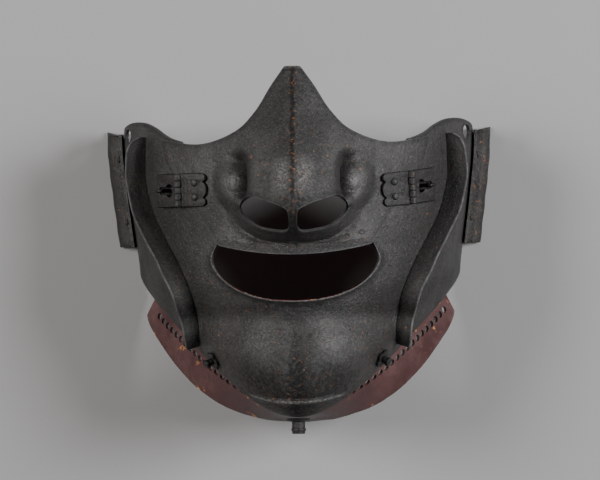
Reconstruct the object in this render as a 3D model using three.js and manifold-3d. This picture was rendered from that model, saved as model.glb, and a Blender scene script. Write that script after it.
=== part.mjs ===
// Samurai half mask: jaw plate, nose plate and laced throat plate, lying face up.
// Millimetres. X runs across the face, Y from chin to bridge, Z from the rear edges to the nose.
import * as THREE from 'three';
import { mergeVertices } from 'three/addons/utils/BufferGeometryUtils.js';
import Module from 'manifold-3d';

const wasm = await Module();
wasm.setup();

// Formed plates
const faceWide = 83; // half the width at the ears
const faceTall = 158; // bridge tip to chin rim
const faceDeep = 103; // rear edges to the front of the cheeks
const plateThick = 1.4;
const seamGap = 0.3; // between plates that lie on each other

// Nose, cheeks and lips, raised from the cheek surface
const noseRise = 24.5;
const noseHalf = 0.265 * faceWide; // from the ridge to the foot at its narrowest
const swellRise = 6.4; // cheek swell beside the nose
const swellHalf = 0.436 * noseHalf;
const hollowDeep = 1.2; // floor of the hollow beside the nose, below the cheek
const hollowShareOfNose = 0.85; // how much of the nose the hollow takes away
const lipRise = 1.6; // rolled edge of the upper lip
const chinCrease = 2.6; // groove down the middle of the chin
const creaseHalf = 8.3;

// Openings
const mouthHalf = 37.7;
const mouthDrop = 27; // lower edge of the mouth below the origin line
const nostrilReach = 24.1;
const nostrilTop = 19.6;
const plateLap = 10; // the jaw plate runs on under the nose plate
const earHoleTall = 7.8;
const earHoleLong = 14;

// Cord guards
const guardStand = 9.8;
const guardThick = 1.6;

// Wing strips
const wingTop = 51.2;
const wingBottom = -2.4;
const wingLeg = 10;
const wingPanel = 4.3;
const wingLip = 5.6;
const wingThick = 1.3;
const wingSpur = 1.8;

// Hinges
const leafLong = 0.205 * faceWide;
const leafTall = 14.5;
const leafThick = 1.2;
const knuckleRadius = 1.9;
const pinRadius = 0.75;
const runClear = 0.3; // pin in its knuckle, and between knuckles
const keyholeRadius = 3;
const keyholeAt = 0.423 * leafLong; // from the pin to the middle of the round part
const slotEnd = 0.905 * leafLong;
const slotHalf = 1.7;
const hookWide = 2;
const hookThick = 1.8;
const hookReach = 5;
const hookStand = 2.4; // above the leaf

// Rivets and chin studs
const rivetRadius = 1.7;
const rivetRise = 1.1;
const shankRadius = 0.8;
const washerRadius = 4.6;
const washerThick = 1;
const studRadius = 2.2;
const studTall = 4.4;

// Sweat tube
const tubeRadius = 3;
const tubeBore = 1.9;
const tubeLong = 7.6;
const collarRadius = 5.5;
const collarThick = 1;

// Throat plate
const throatThick = 1.3;
const throatLap = 4.6; // tucked up behind the jaw rim
const laceRadius = 1.4;
const lacePitch = 4.3;
const laceInset = 7.4; // holes below the jaw rim

// Sections of the face from brow to chin rim. Each runs from the front, along an arm, past the cheek
// to the side: y in shares of faceTall, z of faceDeep, arm and x of faceWide.
const frontColumns = ['frontY', 'frontZ', 'arm'];
const sectionColumns = ['at', ...frontColumns, 'cheekX', 'cheekY', 'cheekZ', 'sideX', 'sideY', 'sideZ'];
const sections = [
  ['brow', 0.544, 0.932, 0.53, 1.006, 0.544, 0.505, 1.006, 0.544, 0],
  ['ear', 0.38, 0.951, 0.53, 1.006, 0.38, 0.51, 1.006, 0.38, 0],
  ['bridge', 0.253, 0.971, 0.542, 1, 0.253, 0.519, 1, 0.253, 0],
  ['nose', 0.127, 0.99, 0.536, 0.978, 0.127, 0.505, 0.974, 0.127, 0],
  ['nostril', 0.019, 1.01, 0.518, 0.95, 0.019, 0.471, 0.948, 0.019, 0],
  ['lip', -0.063, 1.029, 0.5, 0.932, -0.063, 0.447, 0.928, -0.063, 0],
  ['mouth', -0.127, 1.029, 0.47, 0.923, -0.114, 0.437, 0.92, -0.103, 0],
  ['lowerLip', -0.184, 1.01, 0.434, 0.886, -0.158, 0.427, 0.895, -0.13, 0.01],
  ['groove', -0.241, 0.985, 0.386, 0.843, -0.193, 0.417, 0.865, -0.15, 0.029],
  ['chinTop', -0.304, 1.049, 0.337, 0.795, -0.228, 0.427, 0.813, -0.18, 0.107],
  ['chin', -0.367, 1.083, 0.289, 0.687, -0.272, 0.505, 0.723, -0.231, 0.223],
  ['chinLow', -0.427, 1.058, 0.241, 0.554, -0.335, 0.602, 0.614, -0.29, 0.359],
  ['turn', -0.472, 0.981, 0.193, 0.422, -0.399, 0.66, 0.488, -0.356, 0.485],
  ['under', -0.5, 0.874, 0.145, 0.289, -0.453, 0.68, 0.349, -0.416, 0.573],
  ['drain', -0.509, 0.748, 0.084, 0.157, -0.487, 0.66, 0.193, -0.47, 0.621],
  ['rim', -0.506, 0.641, 0.014, 0.031, -0.506, 0.641, 0.042, -0.504, 0.641],
].map((row) => Object.fromEntries(sectionColumns.map((column, i) => [column, row[i]])));
const rowOf = (name) => sections.findIndex((row) => row.at === name);

// The nose down its ridge: y in shares of faceTall, half of noseHalf, rise of noseRise, and how round it is.
const noseRows = [
  { y: 0.544, half: 0.5, rise: 0.06, round: 1.35 },
  { y: 0.475, half: 0.72, rise: 0.15, round: 1.35 },
  { y: 0.38, half: 1.2, rise: 0.4, round: 1.4 },
  { y: 0.285, half: 1.62, rise: 0.65, round: 1.45 },
  { y: 0.19, half: 1.62, rise: 0.88, round: 1.65 },
  { y: 0.127, half: 1.5, rise: 1, round: 1.9 },
  { y: 0.085, half: 1.36, rise: 0.93, round: 2 },
  { y: 0.045, half: 1.26, rise: 0.6, round: 2 },
  { y: 0.012, half: 1.18, rise: 0.22, round: 1.9 },
  { y: -0.012, half: 1.1, rise: 0, round: 1.8 },
  { y: -0.6, half: 1.1, rise: 0, round: 1.8 },
];

// Outer edge of the nose plate from the bridge tip to the mouth corner: shares of faceWide and faceTall.
const noseTopEdge = [
  { x: 0.043, y: 0.491 },
  { x: 0.118, y: 0.435 },
  { x: 0.204, y: 0.364 },
  { x: 0.316, y: 0.309 },
  { x: 0.513, y: 0.277 },
  { x: 0.747, y: 0.296 },
];
const noseSideEdge = [
  { x: 0.747, y: 0.296 },
  { x: 0.687, y: 0.199 },
  { x: 0.533, y: 0.085 },
  { x: 0.44, y: 0.007 },
  { x: 0.412, y: -0.013 },
];
const lipMiddle = -0.04; // middle of the upper lip's edge, in shares of faceTall
const lipBow = 0.6; // how far the lip's edge lifts towards its corners

// Cheek swell, and the hollow that it rises in: place in shares of noseHalf, size of swellHalf.
const swell = { x: 1.22, y: 1.18, wide: 0.98, tall: 1.35 };
const hollow = { x: 1.2, y: 1.25, wide: 0.98, tall: 1.5 };
const creaseTop = { from: -0.2, to: -0.28 }; // the chin crease fades in here, in shares of faceTall

// Lower edge of the mouth: x in shares of mouthHalf, y of mouthDrop.
const mouthEdge = [
  { x: 0.93, y: -0.05 },
  { x: 1, y: -0.278 },
  { x: 0.981, y: -0.426 },
  { x: 0.902, y: -0.585 },
  { x: 0.769, y: -0.741 },
  { x: 0.623, y: -0.852 },
  { x: 0.451, y: -0.933 },
  { x: 0.239, y: -0.985 },
  { x: 0, y: -1 },
];

// One nostril: x in shares of nostrilReach, y of nostrilTop.
const nostrilEdge = [
  { x: 0.09, y: 0.6 },
  { x: 0.19, y: 0.735 },
  { x: 0.5, y: 0.89 },
  { x: 0.85, y: 1 },
  { x: 1, y: 0.8 },
  { x: 0.96, y: 0.6 },
  { x: 0.71, y: 0.34 },
  { x: 0.5, y: 0.235 },
  { x: 0.12, y: 0.2 },
];

// Top edge of the ear lobe seen from the side: z in shares of faceDeep, y of faceTall.
const lobeEdge = [
  { z: -0.1, y: 0.327 },
  { z: 0.05, y: 0.334 },
  { z: 0.15, y: 0.342 },
  { z: 0.27, y: 0.349 },
  { z: 0.37, y: 0.353 },
  { z: 0.46, y: 0.352 },
  { z: 0.53, y: 0.345 },
  { z: 0.6, y: 0.329 },
  { z: 0.67, y: 0.305 },
  { z: 0.74, y: 0.289 },
  { z: 0.86, y: 0.272 },
  { z: 1.5, y: 0.272 },
];
const earHoleMiddle = { z: 0.27, y: 0.312 };

// Root of a cord guard on the cheek: x in shares of faceWide, y of faceTall, stand of guardStand.
const guardRows = [
  { x: 0.834, y: 0.306, stand: 0.35 },
  { x: 0.838, y: 0.285, stand: 0.8 },
  { x: 0.841, y: 0.234, stand: 1 },
  { x: 0.838, y: 0.17, stand: 1 },
  { x: 0.793, y: 0.079, stand: 1 },
  { x: 0.719, y: 0, stand: 1 },
  { x: 0.655, y: -0.062, stand: 1 },
  { x: 0.584, y: -0.145, stand: 0.96 },
  { x: 0.551, y: -0.227, stand: 0.86 },
  { x: 0.541, y: -0.3, stand: 0.72 },
];

// Outer edge of the throat plate, a row for each section from the jaw corner to the middle.
const throatEdge = [
  { at: 'groove', x: 0.895, y: -0.19, z: 0.034 },
  { at: 'chinTop', x: 0.873, y: -0.247, z: 0.068 },
  { at: 'chin', x: 0.801, y: -0.307, z: 0.146 },
  { at: 'chinLow', x: 0.693, y: -0.38, z: 0.228 },
  { at: 'turn', x: 0.56, y: -0.446, z: 0.301 },
  { at: 'under', x: 0.404, y: -0.496, z: 0.35 },
  { at: 'drain', x: 0.211, y: -0.527, z: 0.383 },
  { at: 'rim', x: 0.042, y: -0.537, z: 0.388 },
];

// Iron, red lacquer and darker fittings
const iron = { color: 0x3f3a37, roughness: 0.62, metalness: 0.6 };
const darkIron = { color: 0x2a2726, roughness: 0.58, metalness: 0.6 };
const redLacquer = { color: 0x6b3434, roughness: 0.45, metalness: 0 };

const millimetreWeld = 1e-3;
const up = new THREE.Vector3(0, 1, 0);

// A closed geometry as a solid, and back again
function toSolid(geometry) {
  const bare = geometry.index ? geometry.toNonIndexed() : geometry.clone();
  for (const name of Object.keys(bare.attributes)) {
    if (name !== 'position') bare.deleteAttribute(name);
  }
  const merged = mergeVertices(bare, millimetreWeld);
  return new wasm.Manifold(
    new wasm.Mesh({
      numProp: 3,
      vertProperties: Float32Array.from(merged.attributes.position.array),
      triVerts: Uint32Array.from(merged.index.array),
    }),
  );
}

function toGeometry(solid) {
  const mesh = solid.getMesh();
  const positions = new Float32Array(mesh.numVert * 3);
  for (let i = 0; i < mesh.numVert; i++) {
    positions.set(mesh.vertProperties.subarray(i * mesh.numProp, i * mesh.numProp + 3), i * 3);
  }
  const geometry = new THREE.BufferGeometry();
  geometry.setAttribute('position', new THREE.BufferAttribute(positions, 3));
  geometry.setIndex(new THREE.BufferAttribute(mesh.triVerts, 1));
  geometry.computeVertexNormals();
  return geometry;
}

function named(name, shape, look) {
  const geometry = shape instanceof THREE.BufferGeometry ? shape : toGeometry(shape);
  const mesh = new THREE.Mesh(geometry, new THREE.MeshStandardMaterial(look));
  mesh.name = name;
  return mesh;
}

// A smooth value between the rows of a table, by row number
function blend(rows, key, place) {
  const last = rows.length - 1;
  const t = Math.min(Math.max(place, 0), last);
  const i = Math.min(Math.floor(t), last - 1);
  const f = t - i;
  const a = rows[i][key];
  const b = rows[i + 1][key];
  const before = i > 0 ? rows[i - 1][key] : 2 * a - b;
  const after = i + 2 <= last ? rows[i + 2][key] : 2 * b - a;
  const slopeA = (b - before) / 2;
  const slopeB = (after - a) / 2;
  const f2 = f * f;
  const f3 = f2 * f;
  return a * (2 * f3 - 3 * f2 + 1) + slopeA * (f3 - 2 * f2 + f) + b * (3 * f2 - 2 * f3) + slopeB * (f3 - f2);
}

// The same by the value of a falling column
function blendAt(rows, column, value, key) {
  let i = 0;
  while (i < rows.length - 2 && rows[i + 1][column] > value) i++;
  const span = rows[i][column] - rows[i + 1][column];
  return blend(rows, key, i + Math.min(Math.max((rows[i][column] - value) / span, 0), 1));
}

const bell = (r) => (Math.abs(r) < 1 ? (1 - r * r) ** 2 : 0);
const ramp = (a, b, v) => THREE.MathUtils.smoothstep(v, a, b);

// The smooth cheek surface: place counts down the sections, turn runs from 0 in front to 1 at the side.
function cheekPoint(place, turn) {
  const k = Math.abs(turn);
  const a = (1 - k) ** 3;
  const b = 3 * k * (1 - k) ** 2;
  const c = 3 * k * k * (1 - k);
  const d = k ** 3;
  const get = (key) => blend(sections, key, place);
  const frontY = get('frontY');
  const frontZ = get('frontZ');
  const x = b * get('arm') + c * get('cheekX') + d * get('sideX');
  const y = (a + b) * frontY + c * get('cheekY') + d * get('sideY');
  const z = (a + b) * frontZ + c * get('cheekZ') + d * get('sideZ');
  return new THREE.Vector3(Math.sign(turn) * x * faceWide, y * faceTall, z * faceDeep);
}

// How far a place lies from the middle of a table form beside the nose: 1 at its edge
function reachFrom(at, across, y) {
  const sideways = (across - at.x * noseHalf) / (at.wide * swellHalf);
  const upward = (y - at.y * noseHalf) / (at.tall * swellHalf);
  return { sideways, upward, reach: Math.hypot(sideways, upward) };
}

// Share of the hollow at a place: it falls sharply beside the nose and gently on the cheek's side
function hollowShare(across, y) {
  const { sideways, upward } = reachFrom(hollow, across, y);
  const squareness = sideways < 0 ? 3 : 2;
  const reach = (Math.abs(sideways) ** squareness + Math.abs(upward) ** squareness) ** (1 / squareness);
  const edge = 0.5 + 0.35 * ramp(-0.8, 0.6, sideways);
  return (1 - ramp(1 - edge, 1, reach)) * ramp(-0.95, -0.35, upward);
}

// Nose, swells and hollows, as a height over the cheek surface: on the nose plate alone
function noseRelief(x, y) {
  const across = Math.abs(x);
  const share = y / faceTall;
  const half = blendAt(noseRows, 'y', share, 'half') * noseHalf;
  const rise = Math.max(blendAt(noseRows, 'y', share, 'rise'), 0) * noseRise;
  const round = blendAt(noseRows, 'y', share, 'round');
  const nose = rise * (1 - Math.min(across / half, 1) ** round) ** 1.6;
  const cut = hollowShare(across, y);
  const bulge = swellRise * bell(reachFrom(swell, across, y).reach);
  const lipY = lipMiddle * faceTall * (1 - lipBow * Math.min(across / mouthHalf, 1) ** 2);
  const lipFade = 1 - ramp(0.8 * mouthHalf, 1.1 * mouthHalf, across);
  const lip = lipRise * bell((y - lipY) / (3 * lipRise)) * lipFade;
  return nose * (1 - hollowShareOfNose * cut) - hollowDeep * cut + bulge + lip;
}

// The crease down the middle of the chin
function jawRelief(x, y) {
  const below = 1 - ramp(creaseTop.to, creaseTop.from, y / faceTall);
  return -chinCrease * bell(x / creaseHalf) * below;
}

function facePoint(place, turn, form) {
  const point = cheekPoint(place, turn);
  point.z += form(point.x, point.y) * (1 - ramp(0.9, 1, Math.abs(turn)));
  return point;
}

// The face and its outward direction at one place, felt just inside its edges
function faceFrame(place, turn, form = jawRelief) {
  const step = 0.01;
  const last = sections.length - 1;
  const point = facePoint(place, turn, form);
  const p = THREE.MathUtils.clamp(place, step, last - 0.4);
  const t = THREE.MathUtils.clamp(turn, -0.98, 0.98);
  const across = facePoint(p, t + step, form).sub(facePoint(p, t - step, form));
  const down = facePoint(p + step, t, form).sub(facePoint(p - step, t, form));
  const normal = down.clone().cross(across).normalize();
  return { point, across: across.normalize(), down: down.normalize(), normal };
}

function offsetPoint(place, turn, offset, form = jawRelief) {
  const { point, normal } = faceFrame(place, turn, form);
  return point.addScaledVector(normal, offset);
}

// The place and turn of the face that lie over x and y
function findOnFace(x, y) {
  const halvings = 26;
  const turnFor = (place) => {
    let near = 0;
    let far = 1;
    for (let i = 0; i < halvings; i++) {
      const middle = (near + far) / 2;
      if (cheekPoint(place, middle).x < Math.abs(x)) near = middle;
      else far = middle;
    }
    return near;
  };
  let above = 0;
  let below = rowOf('drain');
  for (let i = 0; i < halvings; i++) {
    const middle = (above + below) / 2;
    if (cheekPoint(middle, turnFor(middle)).y > y) above = middle;
    else below = middle;
  }
  return { place: above, turn: (Math.sign(x) || 1) * turnFor(above) };
}

// A closed body between a front and a back grid of points, with rows running down
function closeSheet(front, back) {
  const rows = front.length;
  const columns = front[0].length;
  const positions = [...front.flat(), ...back.flat()].flatMap((p) => [p.x, p.y, p.z]);
  const index = [];
  const f = (i, j) => i * columns + j;
  const b = (i, j) => rows * columns + i * columns + j;
  const quad = (p, q, r, s) => index.push(p, q, r, p, r, s);
  for (let i = 0; i < rows - 1; i++) {
    for (let j = 0; j < columns - 1; j++) {
      quad(f(i, j), f(i + 1, j), f(i + 1, j + 1), f(i, j + 1));
      quad(b(i, j), b(i, j + 1), b(i + 1, j + 1), b(i + 1, j));
    }
    quad(f(i, 0), b(i, 0), b(i + 1, 0), f(i + 1, 0));
    quad(f(i, columns - 1), f(i + 1, columns - 1), b(i + 1, columns - 1), b(i, columns - 1));
  }
  for (let j = 0; j < columns - 1; j++) {
    quad(f(0, j), f(0, j + 1), b(0, j + 1), b(0, j));
    quad(f(rows - 1, j), b(rows - 1, j), b(rows - 1, j + 1), f(rows - 1, j + 1));
  }
  const geometry = new THREE.BufferGeometry();
  geometry.setAttribute('position', new THREE.Float32BufferAttribute(positions, 3));
  geometry.setIndex(index);
  return geometry;
}

// A closed body through rings of points, with flat ends
function loft(rings) {
  const count = rings[0].length;
  const positions = rings.flat().flatMap((p) => [p.x, p.y, p.z]);
  const index = [];
  for (let i = 0; i < rings.length - 1; i++) {
    for (let j = 0; j < count; j++) {
      const a = i * count + j;
      const b = i * count + ((j + 1) % count);
      index.push(a, b, b + count, a, b + count, a + count);
    }
  }
  const cap = (ring, start, flip) => {
    const centre = ring.reduce((sum, p) => sum.add(p), new THREE.Vector3()).divideScalar(count);
    const normal = new THREE.Vector3();
    ring.forEach((p, j) => {
      normal.add(p.clone().sub(centre).cross(ring[(j + 1) % count].clone().sub(centre)));
    });
    const turn = new THREE.Quaternion().setFromUnitVectors(normal.normalize(), new THREE.Vector3(0, 0, 1));
    const laid = ring.map((p) => p.clone().sub(centre).applyQuaternion(turn));
    const flat = laid.map((p) => new THREE.Vector2(p.x, p.y));
    for (const [a, b, c] of THREE.ShapeUtils.triangulateShape(flat, [])) {
      index.push(start + a, start + (flip ? c : b), start + (flip ? b : c));
    }
  };
  cap(rings[0], 0, true);
  cap(rings.at(-1), (rings.length - 1) * count, false);
  const geometry = new THREE.BufferGeometry();
  geometry.setAttribute('position', new THREE.Float32BufferAttribute(positions, 3));
  geometry.setIndex(index);
  return geometry;
}

// Turned the other way round where the rings ran backwards
function toOutwardSolid(geometry) {
  const position = geometry.attributes.position;
  const index = geometry.index;
  const p = [new THREE.Vector3(), new THREE.Vector3(), new THREE.Vector3()];
  let volume = 0;
  for (let i = 0; i < index.count; i += 3) {
    p.forEach((v, k) => v.fromBufferAttribute(position, index.getX(i + k)));
    volume += p[0].dot(p[1].clone().cross(p[2]));
  }
  if (volume < 0) {
    for (let i = 0; i < index.count; i += 3) {
      const second = index.getX(i + 1);
      index.setX(i + 1, index.getX(i + 2));
      index.setX(i + 2, second);
    }
  }
  return toSolid(geometry);
}

const mirrorPoints = (points) => points.map((p) => ({ ...p, x: -p.x })).reverse();
const spaced = (from, to, count) =>
  Array.from({ length: count + 1 }, (_, i) => from + ((to - from) * i) / count);

// A smooth line through table points, at the real size
function smoothEdge(points, wide, tall, pieces) {
  const curve = new THREE.SplineCurve(points.map((p) => new THREE.Vector2(p.x * wide, p.y * tall)));
  return curve.getPoints(pieces);
}

// A prism over a closed outline, standing along Z
function standingPrism(outline, low, high) {
  const shape = new THREE.Shape(outline.map((p) => new THREE.Vector2(p.x, p.y)));
  const geometry = new THREE.ExtrudeGeometry(shape, { depth: high - low, bevelEnabled: false });
  geometry.translate(0, 0, low);
  return toSolid(geometry);
}

// A prism over an outline in z and y, running the whole way across the face
function crossingPrism(outline, reach) {
  const shape = new THREE.Shape(outline.map((p) => new THREE.Vector2(-p.z, p.y)));
  const geometry = new THREE.ExtrudeGeometry(shape, { depth: 2 * reach, bevelEnabled: false });
  geometry.translate(0, 0, -reach);
  geometry.rotateY(Math.PI / 2);
  return toSolid(geometry);
}

const beyond = 2 * faceDeep;

// Mouth, lower half, from the middle to the right-hand corner
function mouthHalfLine() {
  return smoothEdge(mouthEdge, mouthHalf, mouthDrop, 16).reverse();
}

// The hole in the jaw plate: mouth below, and the space that the nose plate covers
function jawWindow() {
  const inward = (p) => ({ x: p.x * faceWide - plateLap, y: p.y * faceTall });
  const under = [noseSideEdge[3], noseSideEdge[2], noseSideEdge[1], noseSideEdge[0]].map(inward);
  const right = [...mouthHalfLine(), ...under, { x: under.at(-1).x, y: faceTall }];
  const left = mirrorPoints(right.slice(1));
  return standingPrism([...right, ...left], 0.3 * faceDeep, beyond);
}

function lobeCutter() {
  const line = lobeEdge.map((p) => ({ z: p.z * faceDeep, y: p.y * faceTall }));
  const outline = [...line, { z: line.at(-1).z, y: faceTall }, { z: line[0].z, y: faceTall }];
  return crossingPrism(outline, 2 * faceWide);
}

function earHoles() {
  const middle = { z: earHoleMiddle.z * faceDeep, y: earHoleMiddle.y * faceTall };
  const around = spaced(0, 2 * Math.PI, 14).slice(0, -1);
  const outline = around.map((a) => {
    const pinch = Math.sin(a) < 0 ? 1 + 0.55 * Math.sin(a) : 1;
    return {
      z: middle.z + (earHoleLong / 2) * Math.cos(a) * pinch,
      y: middle.y + (earHoleTall / 2) * Math.sin(a),
    };
  });
  return crossingPrism(outline, 2 * faceWide);
}

function faceSheet(places, turns, outer, inner, form) {
  const grid = (offset) => places.map((place) => turns.map((turn) => offsetPoint(place, turn, offset, form)));
  return toSolid(closeSheet(grid(outer), grid(inner)));
}

// Sections that the jaw plate and the throat plate share round the chin
const chinPlaces = spaced(rowOf('groove'), rowOf('rim'), 13);

function jawPlate() {
  const cheekPlaces = spaced(rowOf('ear'), rowOf('lip'), 6);
  const mouthPlaces = spaced(rowOf('lip'), rowOf('groove'), 5).slice(1, -1);
  const places = [...cheekPlaces, ...mouthPlaces, ...chinPlaces];
  const sheet = faceSheet(places, spaced(-1, 1, 28), 0, -plateThick, jawRelief);
  return sheet.subtract(jawWindow()).subtract(lobeCutter()).subtract(earHoles());
}

const noseLift = seamGap + plateThick; // outer face of the nose plate above the jaw plate's

function nosePlateOutline() {
  const top = smoothEdge(noseTopEdge, faceWide, faceTall, 20);
  const side = smoothEdge(noseSideEdge, faceWide, faceTall, 12);
  const corner = side.at(-1);
  const middle = new THREE.Vector2(0, lipMiddle * faceTall);
  const bow = new THREE.Vector2(corner.x / 2, middle.y);
  const lip = new THREE.QuadraticBezierCurve(corner, bow, middle).getPoints(6);
  const right = [...top, ...side.slice(1), ...lip.slice(1)];
  return [...right, ...mirrorPoints(right.slice(0, -1))];
}

function nostril(side) {
  const points = nostrilEdge.map((p) => new THREE.Vector3(side * p.x * nostrilReach, p.y * nostrilTop, 0));
  const outline = new THREE.CatmullRomCurve3(points, true, 'centripetal').getPoints(22).slice(0, -1);
  return standingPrism(side > 0 ? outline.reverse() : outline, 0.3 * faceDeep, beyond);
}

function nosePlate() {
  const edge = findOnFace(0.78 * faceWide, 0.25 * faceTall).turn;
  const fine = spaced(-0.42, 0.42, 20);
  const coarse = spaced(0.42, edge, 5).slice(1);
  const turns = [...coarse.map((t) => -t).reverse(), ...fine, ...coarse];
  const places = spaced(rowOf('brow'), rowOf('lip'), 24);
  const sheet = faceSheet(places, turns, noseLift, seamGap, noseRelief);
  const outline = standingPrism(nosePlateOutline(), 0, beyond);
  return sheet.intersect(outline).subtract(nostril(1)).subtract(nostril(-1));
}

// A standing flange along the cheek, turned out square to it
function cordGuard(side) {
  const steps = spaced(0, guardRows.length - 1, 18);
  const roots = steps.map((s) => {
    const x = side * blend(guardRows, 'x', s) * faceWide;
    const spot = findOnFace(x, blend(guardRows, 'y', s) * faceTall);
    const { point, normal } = faceFrame(spot.place, spot.turn);
    return { point, direction: normal, stand: blend(guardRows, 'stand', s) * guardStand };
  });
  roots.forEach((root, i) => {
    const near = roots.slice(Math.max(i - 3, 0), i + 4);
    root.normal = near.reduce((sum, r) => sum.add(r.direction), new THREE.Vector3()).normalize();
  });
  const rings = roots.map(({ point, normal, stand }, i) => {
    const before = roots[Math.max(i - 1, 0)].point;
    const after = roots[Math.min(i + 1, roots.length - 1)].point;
    const along = after.clone().sub(before).normalize();
    const sideways = along.clone().cross(normal).normalize().multiplyScalar(guardThick / 2);
    const foot = point.clone().addScaledVector(normal, seamGap + 0.1);
    const edge = foot.clone().addScaledVector(normal, stand);
    return [
      foot.clone().add(sideways),
      edge.clone().add(sideways),
      edge.clone().sub(sideways),
      foot.clone().sub(sideways),
    ];
  });
  return toOutwardSolid(loft(rings));
}

// The side of the face just above the table, at a height on the face
function sideAt(y) {
  let above = 0;
  let below = rowOf('lip');
  for (let i = 0; i < 26; i++) {
    const middle = (above + below) / 2;
    if (cheekPoint(middle, 1).y > y) above = middle;
    else below = middle;
  }
  return cheekPoint(above, 1).x;
}

// Leg on the cheek, panel facing forward, lip turned back to the table
function wingSection() {
  const lipDrop = wingLip * Math.SQRT1_2;
  const panelZ = lipDrop + wingThick;
  const outer = [
    { x: seamGap + wingThick, z: panelZ + wingLeg },
    { x: seamGap + wingThick, z: panelZ },
    { x: seamGap + wingPanel, z: panelZ },
    { x: seamGap + wingPanel + lipDrop, z: panelZ - lipDrop },
  ];
  const skew = wingThick * Math.SQRT1_2;
  const inner = [
    { x: seamGap + wingPanel + lipDrop - skew, z: panelZ - lipDrop - skew + 0.5 * wingThick },
    { x: seamGap + wingPanel - 0.41 * wingThick, z: panelZ - wingThick },
    { x: seamGap, z: panelZ - wingThick },
    { x: seamGap, z: panelZ + wingLeg },
  ];
  return [...outer, ...inner];
}

function wingStrip(side) {
  const section = wingSection();
  const widest = Math.max(...section.map((p) => p.x));
  const rings = spaced(wingTop, wingBottom, 6).map((y, i) =>
    section.map((p) => {
      const spur = i === 0 ? wingSpur * ramp(0.45, 1, p.x / widest) : 0;
      return new THREE.Vector3(side * (sideAt(y) + p.x), y + spur, p.z);
    }),
  );
  return toOutwardSolid(loft(rings));
}

// A domed head on a short shank, standing on z = 0
function rivet(shankLong) {
  const dome = spaced(0, Math.PI / 2, 3).map(
    (a) => new THREE.Vector2(rivetRadius * Math.cos(a), rivetRise * Math.sin(a)),
  );
  dome[dome.length - 1].x = 0;
  const profile = [
    new THREE.Vector2(0, -shankLong),
    new THREE.Vector2(shankRadius, -shankLong),
    new THREE.Vector2(shankRadius, 0),
    ...dome,
  ];
  const geometry = new THREE.LatheGeometry(profile, 8);
  geometry.rotateX(Math.PI / 2);
  return geometry;
}

// A round rod along Z between two heights
function rod(radius, low, high, sides = 10) {
  const geometry = new THREE.CylinderGeometry(radius, radius, high - low, sides);
  geometry.rotateX(Math.PI / 2);
  geometry.translate(0, 0, (low + high) / 2);
  return geometry;
}

// The same along Y
function crossRod(radius, low, high, sides = 8) {
  const geometry = new THREE.CylinderGeometry(radius, radius, high - low, sides);
  geometry.translate(0, (low + high) / 2, 0);
  return geometry;
}

function boxBetween(low, high) {
  const geometry = new THREE.BoxGeometry(high[0] - low[0], high[1] - low[1], high[2] - low[2]);
  geometry.translate((low[0] + high[0]) / 2, (low[1] + high[1]) / 2, (low[2] + high[2]) / 2);
  return geometry;
}

// Hinge parts are made about their pin: X runs outward along the keyhole leaf, Y along the pin.
const leafTop = -0.1; // the leaves' upper face, just under the pin's middle
const leafBottom = leafTop - leafThick;
const leafTilt = THREE.MathUtils.degToRad(6);
const knuckleSpan = leafTall / 5; // five knuckles along the pin

function knuckles(wanted) {
  const pieces = wanted.map((i) => {
    const low = -leafTall / 2 + i * knuckleSpan + (i > 0 ? runClear / 2 : 0);
    const high = -leafTall / 2 + (i + 1) * knuckleSpan - (i < 4 ? runClear / 2 : 0);
    return toSolid(crossRod(knuckleRadius, low, high));
  });
  return pieces;
}

// A leaf with its share of the knuckles, cut clear of the other leaf's
function hingeLeaf(outline, wanted, direction, holes) {
  const shape = new THREE.Shape(outline.map((p) => new THREE.Vector2(p.x, p.y)));
  const geometry = new THREE.ExtrudeGeometry(shape, { depth: leafThick, bevelEnabled: false });
  geometry.translate(0, 0, leafBottom);
  geometry.rotateY(direction * leafTilt);
  let leaf = toSolid(geometry);
  for (const hole of holes) leaf = leaf.subtract(toSolid(hole.rotateY(direction * leafTilt)));
  const others = [0, 1, 2, 3, 4].filter((i) => !wanted.includes(i));
  for (const i of others) {
    const low = -leafTall / 2 + i * knuckleSpan - (i > 0 ? runClear / 2 : leafTall);
    const high = -leafTall / 2 + (i + 1) * knuckleSpan + (i < 4 ? runClear / 2 : leafTall);
    leaf = leaf.subtract(toSolid(crossRod(knuckleRadius + runClear, low, high)));
  }
  for (const knuckle of knuckles(wanted)) leaf = leaf.add(knuckle);
  return leaf.subtract(toSolid(crossRod(pinRadius + runClear, -leafTall, leafTall)));
}

const hingeRivetAt = 0.6 * leafLong;
const hingeRivetSpread = 0.225 * leafTall;

function fixedLeaf() {
  const half = leafTall / 2;
  const notch = 0.12 * leafLong;
  const outline = [
    { x: 0.6 * knuckleRadius, y: -half },
    { x: 0.6 * knuckleRadius, y: half },
    { x: -leafLong + notch, y: half },
    { x: -leafLong + 0.3 * notch, y: 0.85 * half },
    { x: -leafLong + 0.35 * notch, y: 0.62 * half },
    { x: -leafLong + notch, y: 0.5 * half },
    { x: -leafLong + 0.25 * notch, y: 0.3 * half },
    { x: -leafLong, y: 0 },
    { x: -leafLong + 0.25 * notch, y: -0.3 * half },
    { x: -leafLong + notch, y: -0.5 * half },
    { x: -leafLong + 0.35 * notch, y: -0.62 * half },
    { x: -leafLong + 0.3 * notch, y: -0.85 * half },
    { x: -leafLong + notch, y: -half },
  ].reverse();
  const holes = [1, -1].map((s) => {
    const hole = rod(shankRadius + runClear, leafBottom - 1, leafTop + 1, 8);
    return hole.translate(-hingeRivetAt, s * hingeRivetSpread, 0);
  });
  return hingeLeaf(outline, [0, 2, 4], -1, holes);
}

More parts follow.
